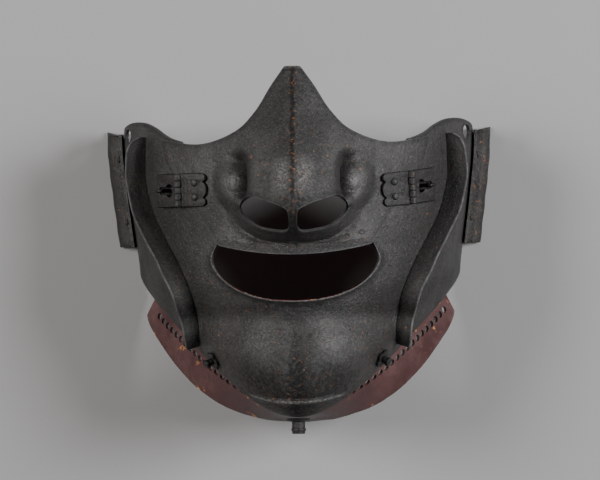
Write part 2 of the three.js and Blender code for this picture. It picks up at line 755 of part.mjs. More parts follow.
function keyholeLeaf() {
  const half = leafTall / 2;
  const outline = [
    { x: -0.6 * knuckleRadius, y: -half },
    { x: leafLong, y: -half },
    { x: leafLong, y: half },
    { x: -0.6 * knuckleRadius, y: half },
  ];
  const round = rod(keyholeRadius, leafBottom - 1, leafTop + 1, 14).translate(keyholeAt, 0, 0);
  const slot = boxBetween([keyholeAt, -slotHalf, leafBottom - 1], [slotEnd, slotHalf, leafTop + 1]);
  return hingeLeaf(outline, [1, 3], 1, [round, slot]);
}

// The pin's place on the face: a frame with Z square to the plate
const hingeX = 0.605 * faceWide;
const hingeY = 0.147 * faceTall;
const leafStand = 0.9; // under the leaves at the pin, where the plate curves up towards them
const hingeLift = noseLift + leafStand - leafBottom;
const rightHingeTilt = THREE.MathUtils.degToRad(5); // that leaf stands a little askew

function hingeFrame(side, tilt) {
  const spot = findOnFace(side * hingeX, hingeY);
  const { point, normal } = faceFrame(spot.place, spot.turn);
  const pinLine = up.clone().addScaledVector(normal, -up.dot(normal)).normalize().multiplyScalar(side);
  pinLine.applyAxisAngle(normal, side * tilt);
  const outward = pinLine.clone().cross(normal).normalize();
  const frame = new THREE.Group();
  const turn = new THREE.Matrix4().makeBasis(outward, pinLine, normal);
  frame.quaternion.setFromRotationMatrix(turn);
  frame.position.copy(point).addScaledVector(normal, hingeLift);
  return frame;
}

// A bent hook that stands on the jaw plate and comes up through the keyhole
const hookFoot = keyholeAt + 0.6 * keyholeRadius;

function hook(frame, side) {
  frame.updateMatrixWorld(true);
  const top = leafTop + hookStand;
  const toFace = frame.matrixWorld.clone().invert();
  const seat = new THREE.Vector3(hookFoot, 0, 0);
  for (let i = 0; i < 6; i++) {
    const guess = new THREE.Vector3(hookFoot, 0, seat.z).applyMatrix4(frame.matrixWorld);
    const spot = findOnFace(guess.x, guess.y);
    seat.copy(offsetPoint(spot.place, spot.turn, seamGap)).applyMatrix4(toFace);
  }
  const shape = new THREE.Shape();
  shape.moveTo(hookFoot, seat.z + 0.15);
  shape.lineTo(hookFoot + hookWide, seat.z + 0.05);
  shape.lineTo(hookFoot + hookWide, top - hookThick);
  shape.lineTo(hookFoot + hookReach, top - 0.75 * hookThick);
  shape.lineTo(hookFoot + hookReach, top - 0.2 * hookThick);
  shape.lineTo(hookFoot + 0.8 * hookWide, top);
  shape.lineTo(hookFoot, top - 0.5 * hookThick);
  const geometry = new THREE.ExtrudeGeometry(shape, { depth: hookThick, bevelEnabled: false });
  geometry.translate(0, 0, -hookThick / 2);
  geometry.rotateX(Math.PI / 2);
  return named(`hook_${side}`, toSolid(geometry), darkIron);
}

function hinge(side, name, tilt) {
  const frame = hingeFrame(side, tilt);
  frame.add(named(`hinge_leaf_${name}`, fixedLeaf(), iron));
  frame.add(named(`keyhole_leaf_${name}`, keyholeLeaf(), iron));
  const pin = crossRod(pinRadius, -leafTall / 2, leafTall / 2);
  frame.add(named(`hinge_pin_${name}`, pin, darkIron));
  [1, -1].forEach((s, i) => {
    const head = rivet(leafThick);
    head.translate(-hingeRivetAt, s * hingeRivetSpread, leafTop + 0.25);
    head.rotateY(-leafTilt);
    frame.add(named(`hinge_rivet_${name}_${i + 1}`, toSolid(head), darkIron));
  });
  frame.add(hook(frame, name));
  return frame;
}

// Scalloped washer and stud near the jaw rim, standing square to the plate
const chinStudAt = { x: 0.455, y: -0.342 };

function chinStud(side, name) {
  const spot = findOnFace(side * chinStudAt.x * faceWide, chinStudAt.y * faceTall);
  const { point, normal } = faceFrame(spot.place, spot.turn);
  const frame = new THREE.Group();
  frame.position.copy(point).addScaledVector(normal, seamGap + 0.15);
  frame.quaternion.setFromUnitVectors(new THREE.Vector3(0, 0, 1), normal);
  const lobes = 6;
  const outline = spaced(0, 2 * Math.PI, 24).slice(0, -1).map((a) => {
    const r = washerRadius * (0.9 + 0.1 * Math.cos(lobes * a));
    return new THREE.Vector2(r * Math.cos(a), r * Math.sin(a));
  });
  const scallops = new THREE.Shape(outline);
  const plate = new THREE.ExtrudeGeometry(scallops, { depth: washerThick, bevelEnabled: false });
  const neck = 0.55 * studRadius;
  const washer = toSolid(plate).subtract(toSolid(rod(neck + runClear, -1, washerThick + 1, 8)));
  frame.add(named(`chin_washer_${name}`, washer, iron));
  const profile = [
    new THREE.Vector2(0, 0.05),
    new THREE.Vector2(neck, 0.05),
    new THREE.Vector2(neck, washerThick + seamGap),
    new THREE.Vector2(0.8 * studRadius, washerThick + seamGap),
    new THREE.Vector2(0.8 * studRadius, 0.7 * studTall),
    new THREE.Vector2(studRadius, 0.8 * studTall),
    new THREE.Vector2(0.9 * studRadius, studTall),
    new THREE.Vector2(0, studTall),
  ];
  const stud = new THREE.LatheGeometry(profile, 10);
  stud.rotateX(Math.PI / 2);
  frame.add(named(`chin_stud_${name}`, toSolid(stud), darkIron));
  return frame;
}

// Drain pipe under the chin, with a collar on the plate
function sweatTubeFrame() {
  const { point, normal } = faceFrame(rowOf('drain'), 0);
  const frame = new THREE.Group();
  frame.position.copy(point);
  frame.quaternion.setFromUnitVectors(new THREE.Vector3(0, 0, 1), normal);
  return frame;
}

function sweatTube() {
  const start = seamGap + 0.35;
  const profile = [
    new THREE.Vector2(tubeBore, start),
    new THREE.Vector2(collarRadius, start),
    new THREE.Vector2(collarRadius, start + collarThick),
    new THREE.Vector2(tubeRadius, start + collarThick),
    new THREE.Vector2(tubeRadius, 0.66 * tubeLong),
    new THREE.Vector2(1.12 * tubeRadius, 0.7 * tubeLong),
    new THREE.Vector2(1.12 * tubeRadius, 0.82 * tubeLong),
    new THREE.Vector2(tubeRadius, 0.86 * tubeLong),
    new THREE.Vector2(0.94 * tubeRadius, tubeLong),
    new THREE.Vector2(tubeBore, tubeLong),
    new THREE.Vector2(tubeBore, start),
  ];
  const geometry = new THREE.LatheGeometry(profile, 12);
  geometry.rotateX(Math.PI / 2);
  return toSolid(geometry);
}

// One ring of the throat plate: tucked behind the jaw rim, then flared
function throatRing(place, side) {
  const { point, normal, down } = faceFrame(place, side);
  const inward = down.clone().cross(normal).multiplyScalar(side).normalize();
  const behind = plateThick + 2.5 * seamGap;
  const rim = point.clone().addScaledVector(normal, -behind).addScaledVector(inward, -seamGap);
  const lap = rim.clone().addScaledVector(inward, throatLap).addScaledVector(normal, -2 * seamGap);
  const row = place - rowOf('groove');
  const edge = new THREE.Vector3(
    side * blend(throatEdge, 'x', row) * faceWide,
    blend(throatEdge, 'y', row) * faceTall,
    blend(throatEdge, 'z', row) * faceDeep,
  );
  const fall = edge.clone().sub(rim);
  const width = fall.length();
  fall.normalize();
  const along = fall.clone().cross(normal).normalize();
  const back = along.clone().cross(fall).normalize();
  if (back.dot(normal) > 0) back.negate();
  const turnDown = rim.clone().addScaledVector(fall, 0.02 * width);
  const outer = [lap, turnDown, edge];
  const inner = [
    edge.clone().addScaledVector(back, throatThick),
    turnDown.clone().addScaledVector(back, throatThick).addScaledVector(normal, -0.2),
    lap.clone().addScaledVector(normal, -throatThick),
  ];
  return { ring: [...outer, ...inner], rim, fall, back };
}

function throatStations() {
  const right = chinPlaces.slice(1).map((place) => throatRing(place, 1));
  const left = chinPlaces.slice(1).map((place) => throatRing(place, -1)).reverse();
  return [...right, ...left];
}

// Places for the lacing holes, a fixed step apart along the rim
function laceSpots(stations) {
  const line = stations.map(({ rim, fall }) => rim.clone().addScaledVector(fall, laceInset));
  const curve = new THREE.CatmullRomCurve3(line);
  const long = curve.getLength();
  const count = Math.floor((long - 3 * lacePitch) / lacePitch);
  return spaced(0, 1, count).map((f) => {
    const share = (1.5 * lacePitch + f * count * lacePitch) / long;
    const point = curve.getPointAt(Math.min(share, 1));
    const gaps = line.map((there) => there.distanceTo(point));
    const nearest = gaps.indexOf(Math.min(...gaps));
    return { point, out: stations[nearest].back.clone().negate() };
  });
}

function throatPlate() {
  const stations = throatStations();
  let plate = toOutwardSolid(loft(stations.map((s) => s.ring)));
  for (const { point, out } of laceSpots(stations)) {
    const hole = rod(laceRadius, -3 * throatThick, 2 * throatThick, 6);
    hole.applyQuaternion(new THREE.Quaternion().setFromUnitVectors(new THREE.Vector3(0, 0, 1), out));
    hole.translate(point.x, point.y, point.z);
    plate = plate.subtract(toSolid(hole));
  }
  return plate;
}

// The rivets on a wing's leg, heads pointing away from the face
const wingRivetRows = [0.25, 0.06]; // in shares of faceTall

function wingRivets(side, name) {
  const panelZ = wingLip * Math.SQRT1_2 + wingThick;
  return wingRivetRows.map((share, i) => {
    const head = rivet(0.3);
    head.rotateY((side * Math.PI) / 2);
    const y = share * faceTall;
    const x = sideAt(y) + seamGap + wingThick + 0.3 + seamGap;
    head.translate(side * x, y, panelZ + 0.55 * wingLeg);
    return named(`wing_rivet_${name}_${i + 1}`, toSolid(head), darkIron);
  });
}

const face = new THREE.Group();
const tubeFrame = sweatTubeFrame();
tubeFrame.add(named('sweat_tube', sweatTube(), darkIron));
tubeFrame.updateMatrixWorld(true);
const drain = rod(tubeBore, -2 * plateThick, 2 * plateThick, 12);
const drainBore = toSolid(drain.applyMatrix4(tubeFrame.matrixWorld));
face.add(named('jaw_plate', jawPlate().subtract(drainBore), iron));
face.add(named('nose_plate', nosePlate(), iron));
face.add(named('throat_plate', throatPlate(), redLacquer));
face.add(tubeFrame);
for (const [side, name, tilt] of [[-1, 'left', 0], [1, 'right', rightHingeTilt]]) {
  face.add(named(`cord_guard_${name}`, cordGuard(side), darkIron));
  face.add(named(`wing_strip_${name}`, wingStrip(side), iron));
  face.add(...wingRivets(side, name));
  face.add(hinge(side, name, tilt));
  face.add(chinStud(side, name));
}

// The origin lies under the middle of the whole part, on the surface that it rests on.
const box = new THREE.Box3().setFromObject(face);
face.position.set(-(box.min.x + box.max.x) / 2, -(box.min.y + box.max.y) / 2, -box.min.z);
const faceGuard = new THREE.Group();
faceGuard.add(face);

export default faceGuard;
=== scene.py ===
# A samurai half mask lying face up on a pale table, seen from above.
import math
import bpy
import numpy as np
from mathutils import Matrix, Vector


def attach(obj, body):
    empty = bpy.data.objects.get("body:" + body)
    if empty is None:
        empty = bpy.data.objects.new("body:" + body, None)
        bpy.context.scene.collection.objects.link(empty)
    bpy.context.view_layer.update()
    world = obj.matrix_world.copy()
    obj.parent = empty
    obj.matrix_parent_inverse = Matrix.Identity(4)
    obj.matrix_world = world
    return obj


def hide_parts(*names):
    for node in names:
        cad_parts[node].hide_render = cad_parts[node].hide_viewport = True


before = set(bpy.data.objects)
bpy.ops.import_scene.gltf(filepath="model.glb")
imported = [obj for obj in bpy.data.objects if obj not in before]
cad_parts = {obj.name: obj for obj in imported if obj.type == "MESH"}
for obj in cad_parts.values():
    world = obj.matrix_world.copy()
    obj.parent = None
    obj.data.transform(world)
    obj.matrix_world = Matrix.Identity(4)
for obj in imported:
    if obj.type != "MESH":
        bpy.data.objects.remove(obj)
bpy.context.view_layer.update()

mm = 0.001

# Main sizes in millimetres, on the mask's own middle line; rootShift moves them onto the table.
face = {
    "wide": 83, "tall": 158, "deep": 103, "thick": 1.4, "gap": 0.3,
    "rootShift": (0.0, 5.3259, 0.1059),
}
noseLift = face["gap"] + face["thick"]

# Rows from brow to chin rim: y in shares of tall, z of deep, arm and x of wide.
sectionColumns = ["at", "frontY", "frontZ", "arm", "cheekX", "cheekY", "cheekZ", "sideX", "sideY", "sideZ"]
sectionRows = [
    ["brow", 0.544, 0.932, 0.53, 1.006, 0.544, 0.505, 1.006, 0.544, 0],
    ["ear", 0.38, 0.951, 0.53, 1.006, 0.38, 0.51, 1.006, 0.38, 0],
    ["bridge", 0.253, 0.971, 0.542, 1, 0.253, 0.519, 1, 0.253, 0],
    ["nose", 0.127, 0.99, 0.536, 0.978, 0.127, 0.505, 0.974, 0.127, 0],
    ["nostril", 0.019, 1.01, 0.518, 0.95, 0.019, 0.471, 0.948, 0.019, 0],
    ["lip", -0.063, 1.029, 0.5, 0.932, -0.063, 0.447, 0.928, -0.063, 0],
    ["mouth", -0.127, 1.029, 0.47, 0.923, -0.114, 0.437, 0.92, -0.103, 0],
    ["lowerLip", -0.184, 1.01, 0.434, 0.886, -0.158, 0.427, 0.895, -0.13, 0.01],
    ["groove", -0.241, 0.985, 0.386, 0.843, -0.193, 0.417, 0.865, -0.15, 0.029],
    ["chinTop", -0.304, 1.049, 0.337, 0.795, -0.228, 0.427, 0.813, -0.18, 0.107],
    ["chin", -0.367, 1.083, 0.289, 0.687, -0.272, 0.505, 0.723, -0.231, 0.223],
    ["chinLow", -0.427, 1.058, 0.241, 0.554, -0.335, 0.602, 0.614, -0.29, 0.359],
    ["turn", -0.472, 0.981, 0.193, 0.422, -0.399, 0.66, 0.488, -0.356, 0.485],
    ["under", -0.5, 0.874, 0.145, 0.289, -0.453, 0.68, 0.349, -0.416, 0.573],
    ["drain", -0.509, 0.748, 0.084, 0.157, -0.487, 0.66, 0.193, -0.47, 0.621],
    ["rim", -0.506, 0.641, 0.014, 0.031, -0.506, 0.641, 0.042, -0.504, 0.641],
]
sections = {c: [row[i] for row in sectionRows] for i, c in enumerate(sectionColumns)}


def rowOf(name):
    return sections["at"].index(name)


lastRow = len(sectionRows) - 1


def blend(values, place):
    values = np.asarray(values, float)
    last = len(values) - 1
    t = np.clip(np.asarray(place, float), 0, last)
    i = np.minimum(np.floor(t).astype(int), last - 1)
    f = t - i
    a, b = values[i], values[i + 1]
    before = np.where(i > 0, values[np.maximum(i - 1, 0)], 2 * a - b)
    after = np.where(i + 2 <= last, values[np.minimum(i + 2, last)], 2 * b - a)
    slopeA, slopeB = (b - before) / 2, (after - a) / 2
    f2, f3 = f * f, f * f * f
    return a * (2 * f3 - 3 * f2 + 1) + slopeA * (f3 - 2 * f2 + f) + b * (3 * f2 - 2 * f3) + slopeB * (f3 - f2)


def blendFalling(column, values, at):
    column = np.asarray(column, float)
    at = np.asarray(at, float)
    i = np.clip(np.searchsorted(-column, -at, side="left") - 1, 0, len(column) - 2)
    share = np.clip((column[i] - at) / (column[i] - column[i + 1]), 0, 1)
    return blend(values, i + share)


def bell(r):
    return np.where(np.abs(r) < 1, (1 - np.minimum(np.abs(r), 1) ** 2) ** 2, 0)


def ramp(a, b, v):
    t = np.clip((v - a) / (b - a), 0, 1)
    return t * t * (3 - 2 * t)


def cheekPoint(place, turn):
    k = np.abs(turn)
    a, b, c, d = (1 - k) ** 3, 3 * k * (1 - k) ** 2, 3 * k * k * (1 - k), k ** 3
    frontY, frontZ = blend(sections["frontY"], place), blend(sections["frontZ"], place)
    arm = blend(sections["arm"], place)
    cheek = [blend(sections[n], place) for n in ("cheekX", "cheekY", "cheekZ")]
    side = [blend(sections[n], place) for n in ("sideX", "sideY", "sideZ")]
    x = np.sign(turn) * (b * arm + c * cheek[0] + d * side[0]) * face["wide"]
    y = ((a + b) * frontY + c * cheek[1] + d * side[1]) * face["tall"]
    z = ((a + b) * frontZ + c * cheek[2] + d * side[2]) * face["deep"]
    return np.stack([x, y, z], -1)


# Rust, soot with painted shade, or painted highlights over the face, from a table of soft patches in
# millimetres
def patches(x, y, table):
    across = np.abs(x)
    total = np.zeros(np.shape(x))
    for patch in table:
        share = patch["strength"] * np.ones(np.shape(x))
        if "x" in patch:
            share *= bell((x - patch["x"][0]) / patch["x"][1])
        if "sides" in patch:
            share *= bell((across - patch["sides"][0]) / patch["sides"][1])
        if "y" in patch:
            share *= bell((y - patch["y"][0]) / patch["y"][1])
        if "round" in patch:
            middleX, middleY, halfX, halfY = patch["round"]
            share *= bell(np.hypot((x - middleX) / halfX, (y - middleY) / halfY))
        if "roundSides" in patch:
            middleX, middleY, half = patch["roundSides"]
            share *= bell(np.hypot(across - middleX, y - middleY) / half)
        if "growsY" in patch:
            share *= ramp(*patch["growsY"], y)
        if "fadesSides" in patch:
            share *= 1 - ramp(*patch["fadesSides"], across)
        total += share
    return total


# Nose, by rows of y in shares of tall, half of half, rise of rise, and how round it is
nose = {
    "rise": 24.5, "half": 22, "swellRise": 6.4, "swellHalf": 9.6, "hollowDeep": 1.2, "lipRise": 1.6,
    "rows": [
        [0.544, 0.5, 0.06, 1.35], [0.475, 0.72, 0.15, 1.35], [0.38, 1.2, 0.4, 1.4], [0.285, 1.62, 0.65, 1.45],
        [0.19, 1.62, 0.88, 1.65], [0.127, 1.5, 1, 1.9], [0.085, 1.36, 0.93, 2], [0.045, 1.26, 0.6, 2],
        [0.012, 1.18, 0.22, 1.9], [-0.012, 1.1, 0, 1.8], [-0.6, 1.1, 0, 1.8],
    ],
    "swell": (1.22, 1.18, 0.98, 1.35), "hollow": (1.2, 1.25, 0.98, 1.5),
    "topEdge": [
        (0.043, 0.491), (0.118, 0.435), (0.204, 0.364), (0.316, 0.309), (0.513, 0.277), (0.747, 0.296),
    ],
    "sideEdge": [(0.747, 0.296), (0.687, 0.199), (0.533, 0.085), (0.44, 0.007), (0.412, -0.013)],
    "lipMiddle": -0.04, "lipBow": 0.6,
    "nostrilReach": 24.1, "nostrilTop": 19.6,
    "hollowOfNose": 0.85, "hollowEdge": (0.3, 0.85),
    "flare": 0.8, "flareAt": 0.6, "flareHalf": 2.2, "under": 0.55, "underAt": 3.4, "underHalf": 1.6,
    "roll": 1.3, "rollY": 77.2, "rollHalf": 1.7, "spine": 0.4, "spineHalf": 1.3,
    "keel": 1.5, "keelHalf": 2.6, "uneven": 0.12,
    "plugs": [(-31.3, 0.9), (-26.9, 0.9), (-18.9, -0.4), (2, -1.8), (23.3, 1.3), (30, 3.1)],
    "plugRadius": 1.1, "plugHalf": 0.7, "plugSoot": 0.75,
    "rust": [
        {"strength": 1.1, "x": (0, 3.6), "growsY": (8, 20)},
        {"strength": 0.5, "x": (0, 9), "y": (18, 12)},
        {"strength": 0.8, "round": (4, 29, 7, 7)},
        {"strength": 0.9, "round": (0, 12, 3.5, 3.5)},
        {"strength": 0.25, "y": (-3, 8)},
    ],
    # Soot and painted shade: the nose darkened over its middle and upper part, where it faces up and away
    # from the light
    "sootAndShade": [
        {"strength": 0.6, "x": (0, 24), "growsY": (8, 20)},
        {"strength": 0.5, "round": (0, 13, 14, 9)},
        {"strength": 0.35, "x": (0, 12), "growsY": (24, 14)},
    ],
    # Painted highlights: beside the ridge near the tip, along the rolled top lip and on the swells
    "paintedHighlight": [
        {"strength": 0.5, "sides": (5, 6), "y": (28.5, 11)},
        {"strength": 0.45, "y": (77.5, 1.4)},
        {"strength": 0.26, "roundSides": (28, 26, 8)},
    ],
    "ridgeSoot": 1.3, "ridgeSootHalf": 1.35, "ridgeWander": 0.25, "hollowShade": 0.6,
    "nostril": [
        (0.09, 0.6), (0.19, 0.735), (0.5, 0.89), (0.85, 1), (1, 0.8),
        (0.96, 0.6), (0.71, 0.34), (0.5, 0.235), (0.12, 0.2),
    ],
}
# Round the mouth: a painted highlight along the rim's edge, and a band of painted shade just outside the rim
mouth = {
    "half": 37.7, "drop": 27, "rim": 0.7, "rimAt": 0.4, "rimHalf": 1.1, "startsY": (-3, -7),
    "paintedHighlight": 0.4, "highlightHalf": 0.6, "sootAndShade": 0.55, "shadeAt": 2.2, "shadeHalf": 1.6,
    "edge": [
        (0.93, -0.05), (1, -0.278), (0.981, -0.426), (0.902, -0.585), (0.769, -0.741),
        (0.623, -0.852), (0.451, -0.933), (0.239, -0.985), (0, -1),
    ],
}
chin = {
    "crease": 2.6, "creaseHalf": 8.3, "from": -0.28, "to": -0.2,
    "ridgeY": -72.5, "ridgeBow": 3, "ridgeHalf": 21, "ridgeRise": 2.4, "fill": 1.4, "ridgeWide": 2,
    # A painted highlight along the ridge under the chin
    "ridgeHighlight": 0.9, "uneven": 0.12,
    "rust": [
        {"strength": 0.55, "x": (-3, 30), "growsY": (-52, -70)},
        {"strength": 0.5, "sides": (34, 14), "growsY": (-25, -45)},
    ],
    # Painted shade: under the lower lip, in the chin's middle crease, across the chin's front and on its
    # underside that turns away from the light
    "sootAndShade": [
        {"strength": 0.55, "y": (-29.5, 4.5), "fadesSides": (10, 34)},
        {"strength": 0.5, "x": (0, 5), "growsY": (-34, -44)},
        {"strength": 0.3, "y": (-50, 26), "x": (0, 40)},
        {"strength": 0.8, "growsY": (-46, -64), "fadesSides": (20, 38)},
        {"strength": 0.35, "y": (-33, 8), "x": (0, 44)},
    ],
    # Painted highlights on the chin's two bulges
    "paintedHighlight": [{"strength": 0.2, "roundSides": (15, -44, 11)}],
}
ear = {
    "lobe": [
        (-0.1, 0.327), (0.05, 0.334), (0.15, 0.342), (0.27, 0.349), (0.37, 0.353), (0.46, 0.352),
        (0.53, 0.345), (0.6, 0.329), (0.67, 0.305), (0.74, 0.289), (0.86, 0.272), (1.5, 0.272),
    ],
    "holeMiddle": (0.27, 0.312), "holeLong": 14, "holeTall": 7.8,
}
plateLap = 10


def splinePoints(points, count, closed=False):
    points = np.asarray(points, float)
    n = len(points)
    out = []
    steps = np.linspace(0, n if closed else n - 1, count, endpoint=not closed)
    for s in steps:
        i = int(min(math.floor(s), (n if closed else n - 1) - 1))
        f = s - i
        if closed:
            p = [points[(i + k) % n] for k in (-1, 0, 1, 2)]
        else:
            p = [points[max(i - 1, 0)], points[i], points[i + 1], points[min(i + 2, n - 1)]]
            if i == 0:
                p[0] = 2 * p[1] - p[2]
            if i + 2 > n - 1:
                p[3] = 2 * p[2] - p[1]
        slopeA, slopeB = (p[2] - p[0]) / 2, (p[3] - p[1]) / 2
        f2, f3 = f * f, f ** 3
        out.append(
            p[1] * (2 * f3 - 3 * f2 + 1) + slopeA * (f3 - 2 * f2 + f)
            + p[2] * (3 * f2 - 2 * f3) + slopeB * (f3 - f2)
        )
    return np.array(out)


def mirrored(points):
    return (np.asarray(points) * (-1, 1))[::-1]


# Distance to a closed outline, positive inside it
def insideDistance(px, py, outline):
    outline = np.asarray(outline, float)
    best = np.full(px.shape, 1e9)
    inside = np.zeros(px.shape, bool)
    for (ax, ay), (bx, by) in zip(outline, np.roll(outline, -1, 0)):
        dx, dy = bx - ax, by - ay
        t = np.clip(((px - ax) * dx + (py - ay) * dy) / max(dx * dx + dy * dy, 1e-12), 0, 1)
        best = np.minimum(best, np.hypot(px - ax - t * dx, py - ay - t * dy))
        crosses = (ay > py) != (by > py)
        with np.errstate(divide="ignore", invalid="ignore"):
            at = dx * (py - ay) / (dy if abs(dy) > 1e-12 else 1e-12) + ax
        inside ^= crosses & (px < at)
    return np.where(inside, best, -best)


def reachFrom(at, across, y):
    sideways = (across - at[0] * nose["half"]) / (at[2] * nose["swellHalf"])
    upward = (y - at[1] * nose["half"]) / (at[3] * nose["swellHalf"])
    return sideways, upward, np.hypot(sideways, upward)


def hollowShare(across, y, crisp=nose["hollowEdge"][0]):
    sideways, upward, _ = reachFrom(nose["hollow"], across, y)
    squareness = np.where(sideways < 0, 3.0, 2.0)
    reach = (np.abs(sideways) ** squareness + np.abs(upward) ** squareness) ** (1 / squareness)
    edge = crisp + (nose["hollowEdge"][1] - crisp) * ramp(-0.8, 0.6, sideways)
    return (1 - ramp(1 - edge, 1, reach)) * ramp(-0.95, -0.35, upward)


nostrilOutline = splinePoints(
    [(x * nose["nostrilReach"], y * nose["nostrilTop"]) for x, y in nose["nostril"]], 60, closed=True
)


# Slow unevenness of hand-beaten plate, in waves that never repeat
def beaten(x, y, size):
    waves = [(0.21, 0.13, 0.4), (-0.17, 0.26, 1.9), (0.34, -0.11, 3.1), (0.09, 0.37, 4.4), (0.43, 0.29, 5.3)]
    total = sum(np.sin(a * x + b * y + p) for a, b, p in waves)
    return size * total / len(waves)


def noseRelief(x, y):
    across = np.abs(x)
    share = y / face["tall"]
    columns = list(zip(*nose["rows"]))
    half = blendFalling(columns[0], columns[1], share) * nose["half"]
    rise = np.maximum(blendFalling(columns[0], columns[2], share), 0) * nose["rise"]
    roundness = blendFalling(columns[0], columns[3], share)
    body = rise * (1 - np.minimum(across / half, 1) ** roundness) ** 1.6
    bow = nose["lipBow"] * np.minimum(across / mouth["half"], 1) ** 2
    lipY = nose["lipMiddle"] * face["tall"] * (1 - bow)
    lipFade = 1 - ramp(0.8 * mouth["half"], 1.1 * mouth["half"], across)
    lip = nose["lipRise"] * bell((y - lipY) / (3 * nose["lipRise"])) * lipFade
    cut = hollowShare(across, y)
    bulge = nose["swellRise"] * bell(reachFrom(nose["swell"], across, y)[2])
    return body * (1 - nose["hollowOfNose"] * cut) - nose["hollowDeep"] * cut + bulge + lip


def noseDetail(x, y):
    across = np.abs(x)
    edge = -insideDistance(across, y, nostrilOutline)
    flare = nose["flare"] * bell((edge - nose["flareAt"]) / nose["flareHalf"])
    under = nose["under"] * bell((edge - nose["underAt"]) / nose["underHalf"]) * ramp(11, 3, y)
    roll = nose["roll"] * bell((y - nose["rollY"]) / nose["rollHalf"]) * (1 - ramp(4, 6.5, across))
    spine = nose["spine"] * bell(x / nose["spineHalf"]) * ramp(14, 24, y)
    keel = nose["keel"] * (1 - np.exp(-across / nose["keelHalf"])) * (1 - ramp(7, 19, across))
    keel = keel * ramp(10, 18, y) * (1 - ramp(52, 72, y))
    return noseRelief(x, y) + flare - under + roll - spine - keel + beaten(x, y, nose["uneven"])


def jawRelief(x, y):
    below = 1 - ramp(chin["from"], chin["to"], y / face["tall"])
    return -chin["crease"] * bell(x / chin["creaseHalf"]) * below


def facePoint(place, turn, form):
    point = cheekPoint(place, turn)
    fade = 1 - ramp(0.9, 1, np.abs(turn))
    point[..., 2] += form(point[..., 0], point[..., 1]) * fade
    return point


def unit(v):
    return v / np.maximum(np.linalg.norm(v, axis=-1, keepdims=True), 1e-12)


def faceFrame(place, turn, form=jawRelief, step=0.01):
    place, turn = np.broadcast_arrays(np.asarray(place, float), np.asarray(turn, float))
    point = facePoint(place, turn, form)
    p = np.clip(place, step, lastRow - 0.4)
    t = np.clip(turn, -0.98, 0.98)
    across = facePoint(p, t + step, form) - facePoint(p, t - step, form)
    down = facePoint(p + step, t, form) - facePoint(p - step, t, form)
    return point, unit(np.cross(down, across)), unit(down)


def findOnFace(x, y):
    across, y = np.abs(np.asarray(x, float)), np.asarray(y, float)

    def turnFor(place):
        near, far = np.zeros_like(across), np.ones_like(across)
        for _ in range(24):
            middle = (near + far) / 2
            short = cheekPoint(place, middle)[..., 0] < across
            near, far = np.where(short, middle, near), np.where(short, far, middle)
        return near

    above, below = np.zeros_like(across), np.full_like(across, rowOf("drain"))
    for _ in range(24):
        middle = (above + below) / 2
        high = cheekPoint(middle, turnFor(middle))[..., 1] > y
        above, below = np.where(high, middle, above), np.where(high, below, middle)
    return above, np.where(np.asarray(x) < 0, -1, 1) * turnFor(above)


shift = np.array(face["rootShift"])


def newPiece(name, points, faces, materials, faceMaterials=None, smoothAngle=35, marks=None):
    mesh = bpy.data.meshes.new(name)
    mesh.from_pydata(((np.asarray(points) + shift) * mm).tolist(), [], [list(f) for f in faces])
    for material in materials:
        mesh.materials.append(material)
    if faceMaterials is not None:
        mesh.polygons.foreach_set("material_index", np.asarray(faceMaterials, np.int32))
    for key, values in (marks or {}).items():
        layer = mesh.attributes.new(key, "FLOAT", "POINT")
        layer.data.foreach_set("value", np.asarray(values, np.float32))
    mesh.polygons.foreach_set("use_smooth", [True] * len(mesh.polygons))
    mesh.set_sharp_from_angle(angle=math.radians(smoothAngle))
    mesh.update()
    piece = bpy.data.objects.new(name, mesh)
    bpy.context.collection.objects.link(piece)
    return piece


# One tone of edge wear with its painted glint, and of rust, all over a small piece
def evenMarks(points, edge, rusty=0.3):
    return {"edge": np.full(len(points), edge), "rusty": np.full(len(points), rusty)}


# What a piece stands for in the frame
def standFor(piece, nodeName, body="face_plates"):
    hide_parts(nodeName)
    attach(piece, body)


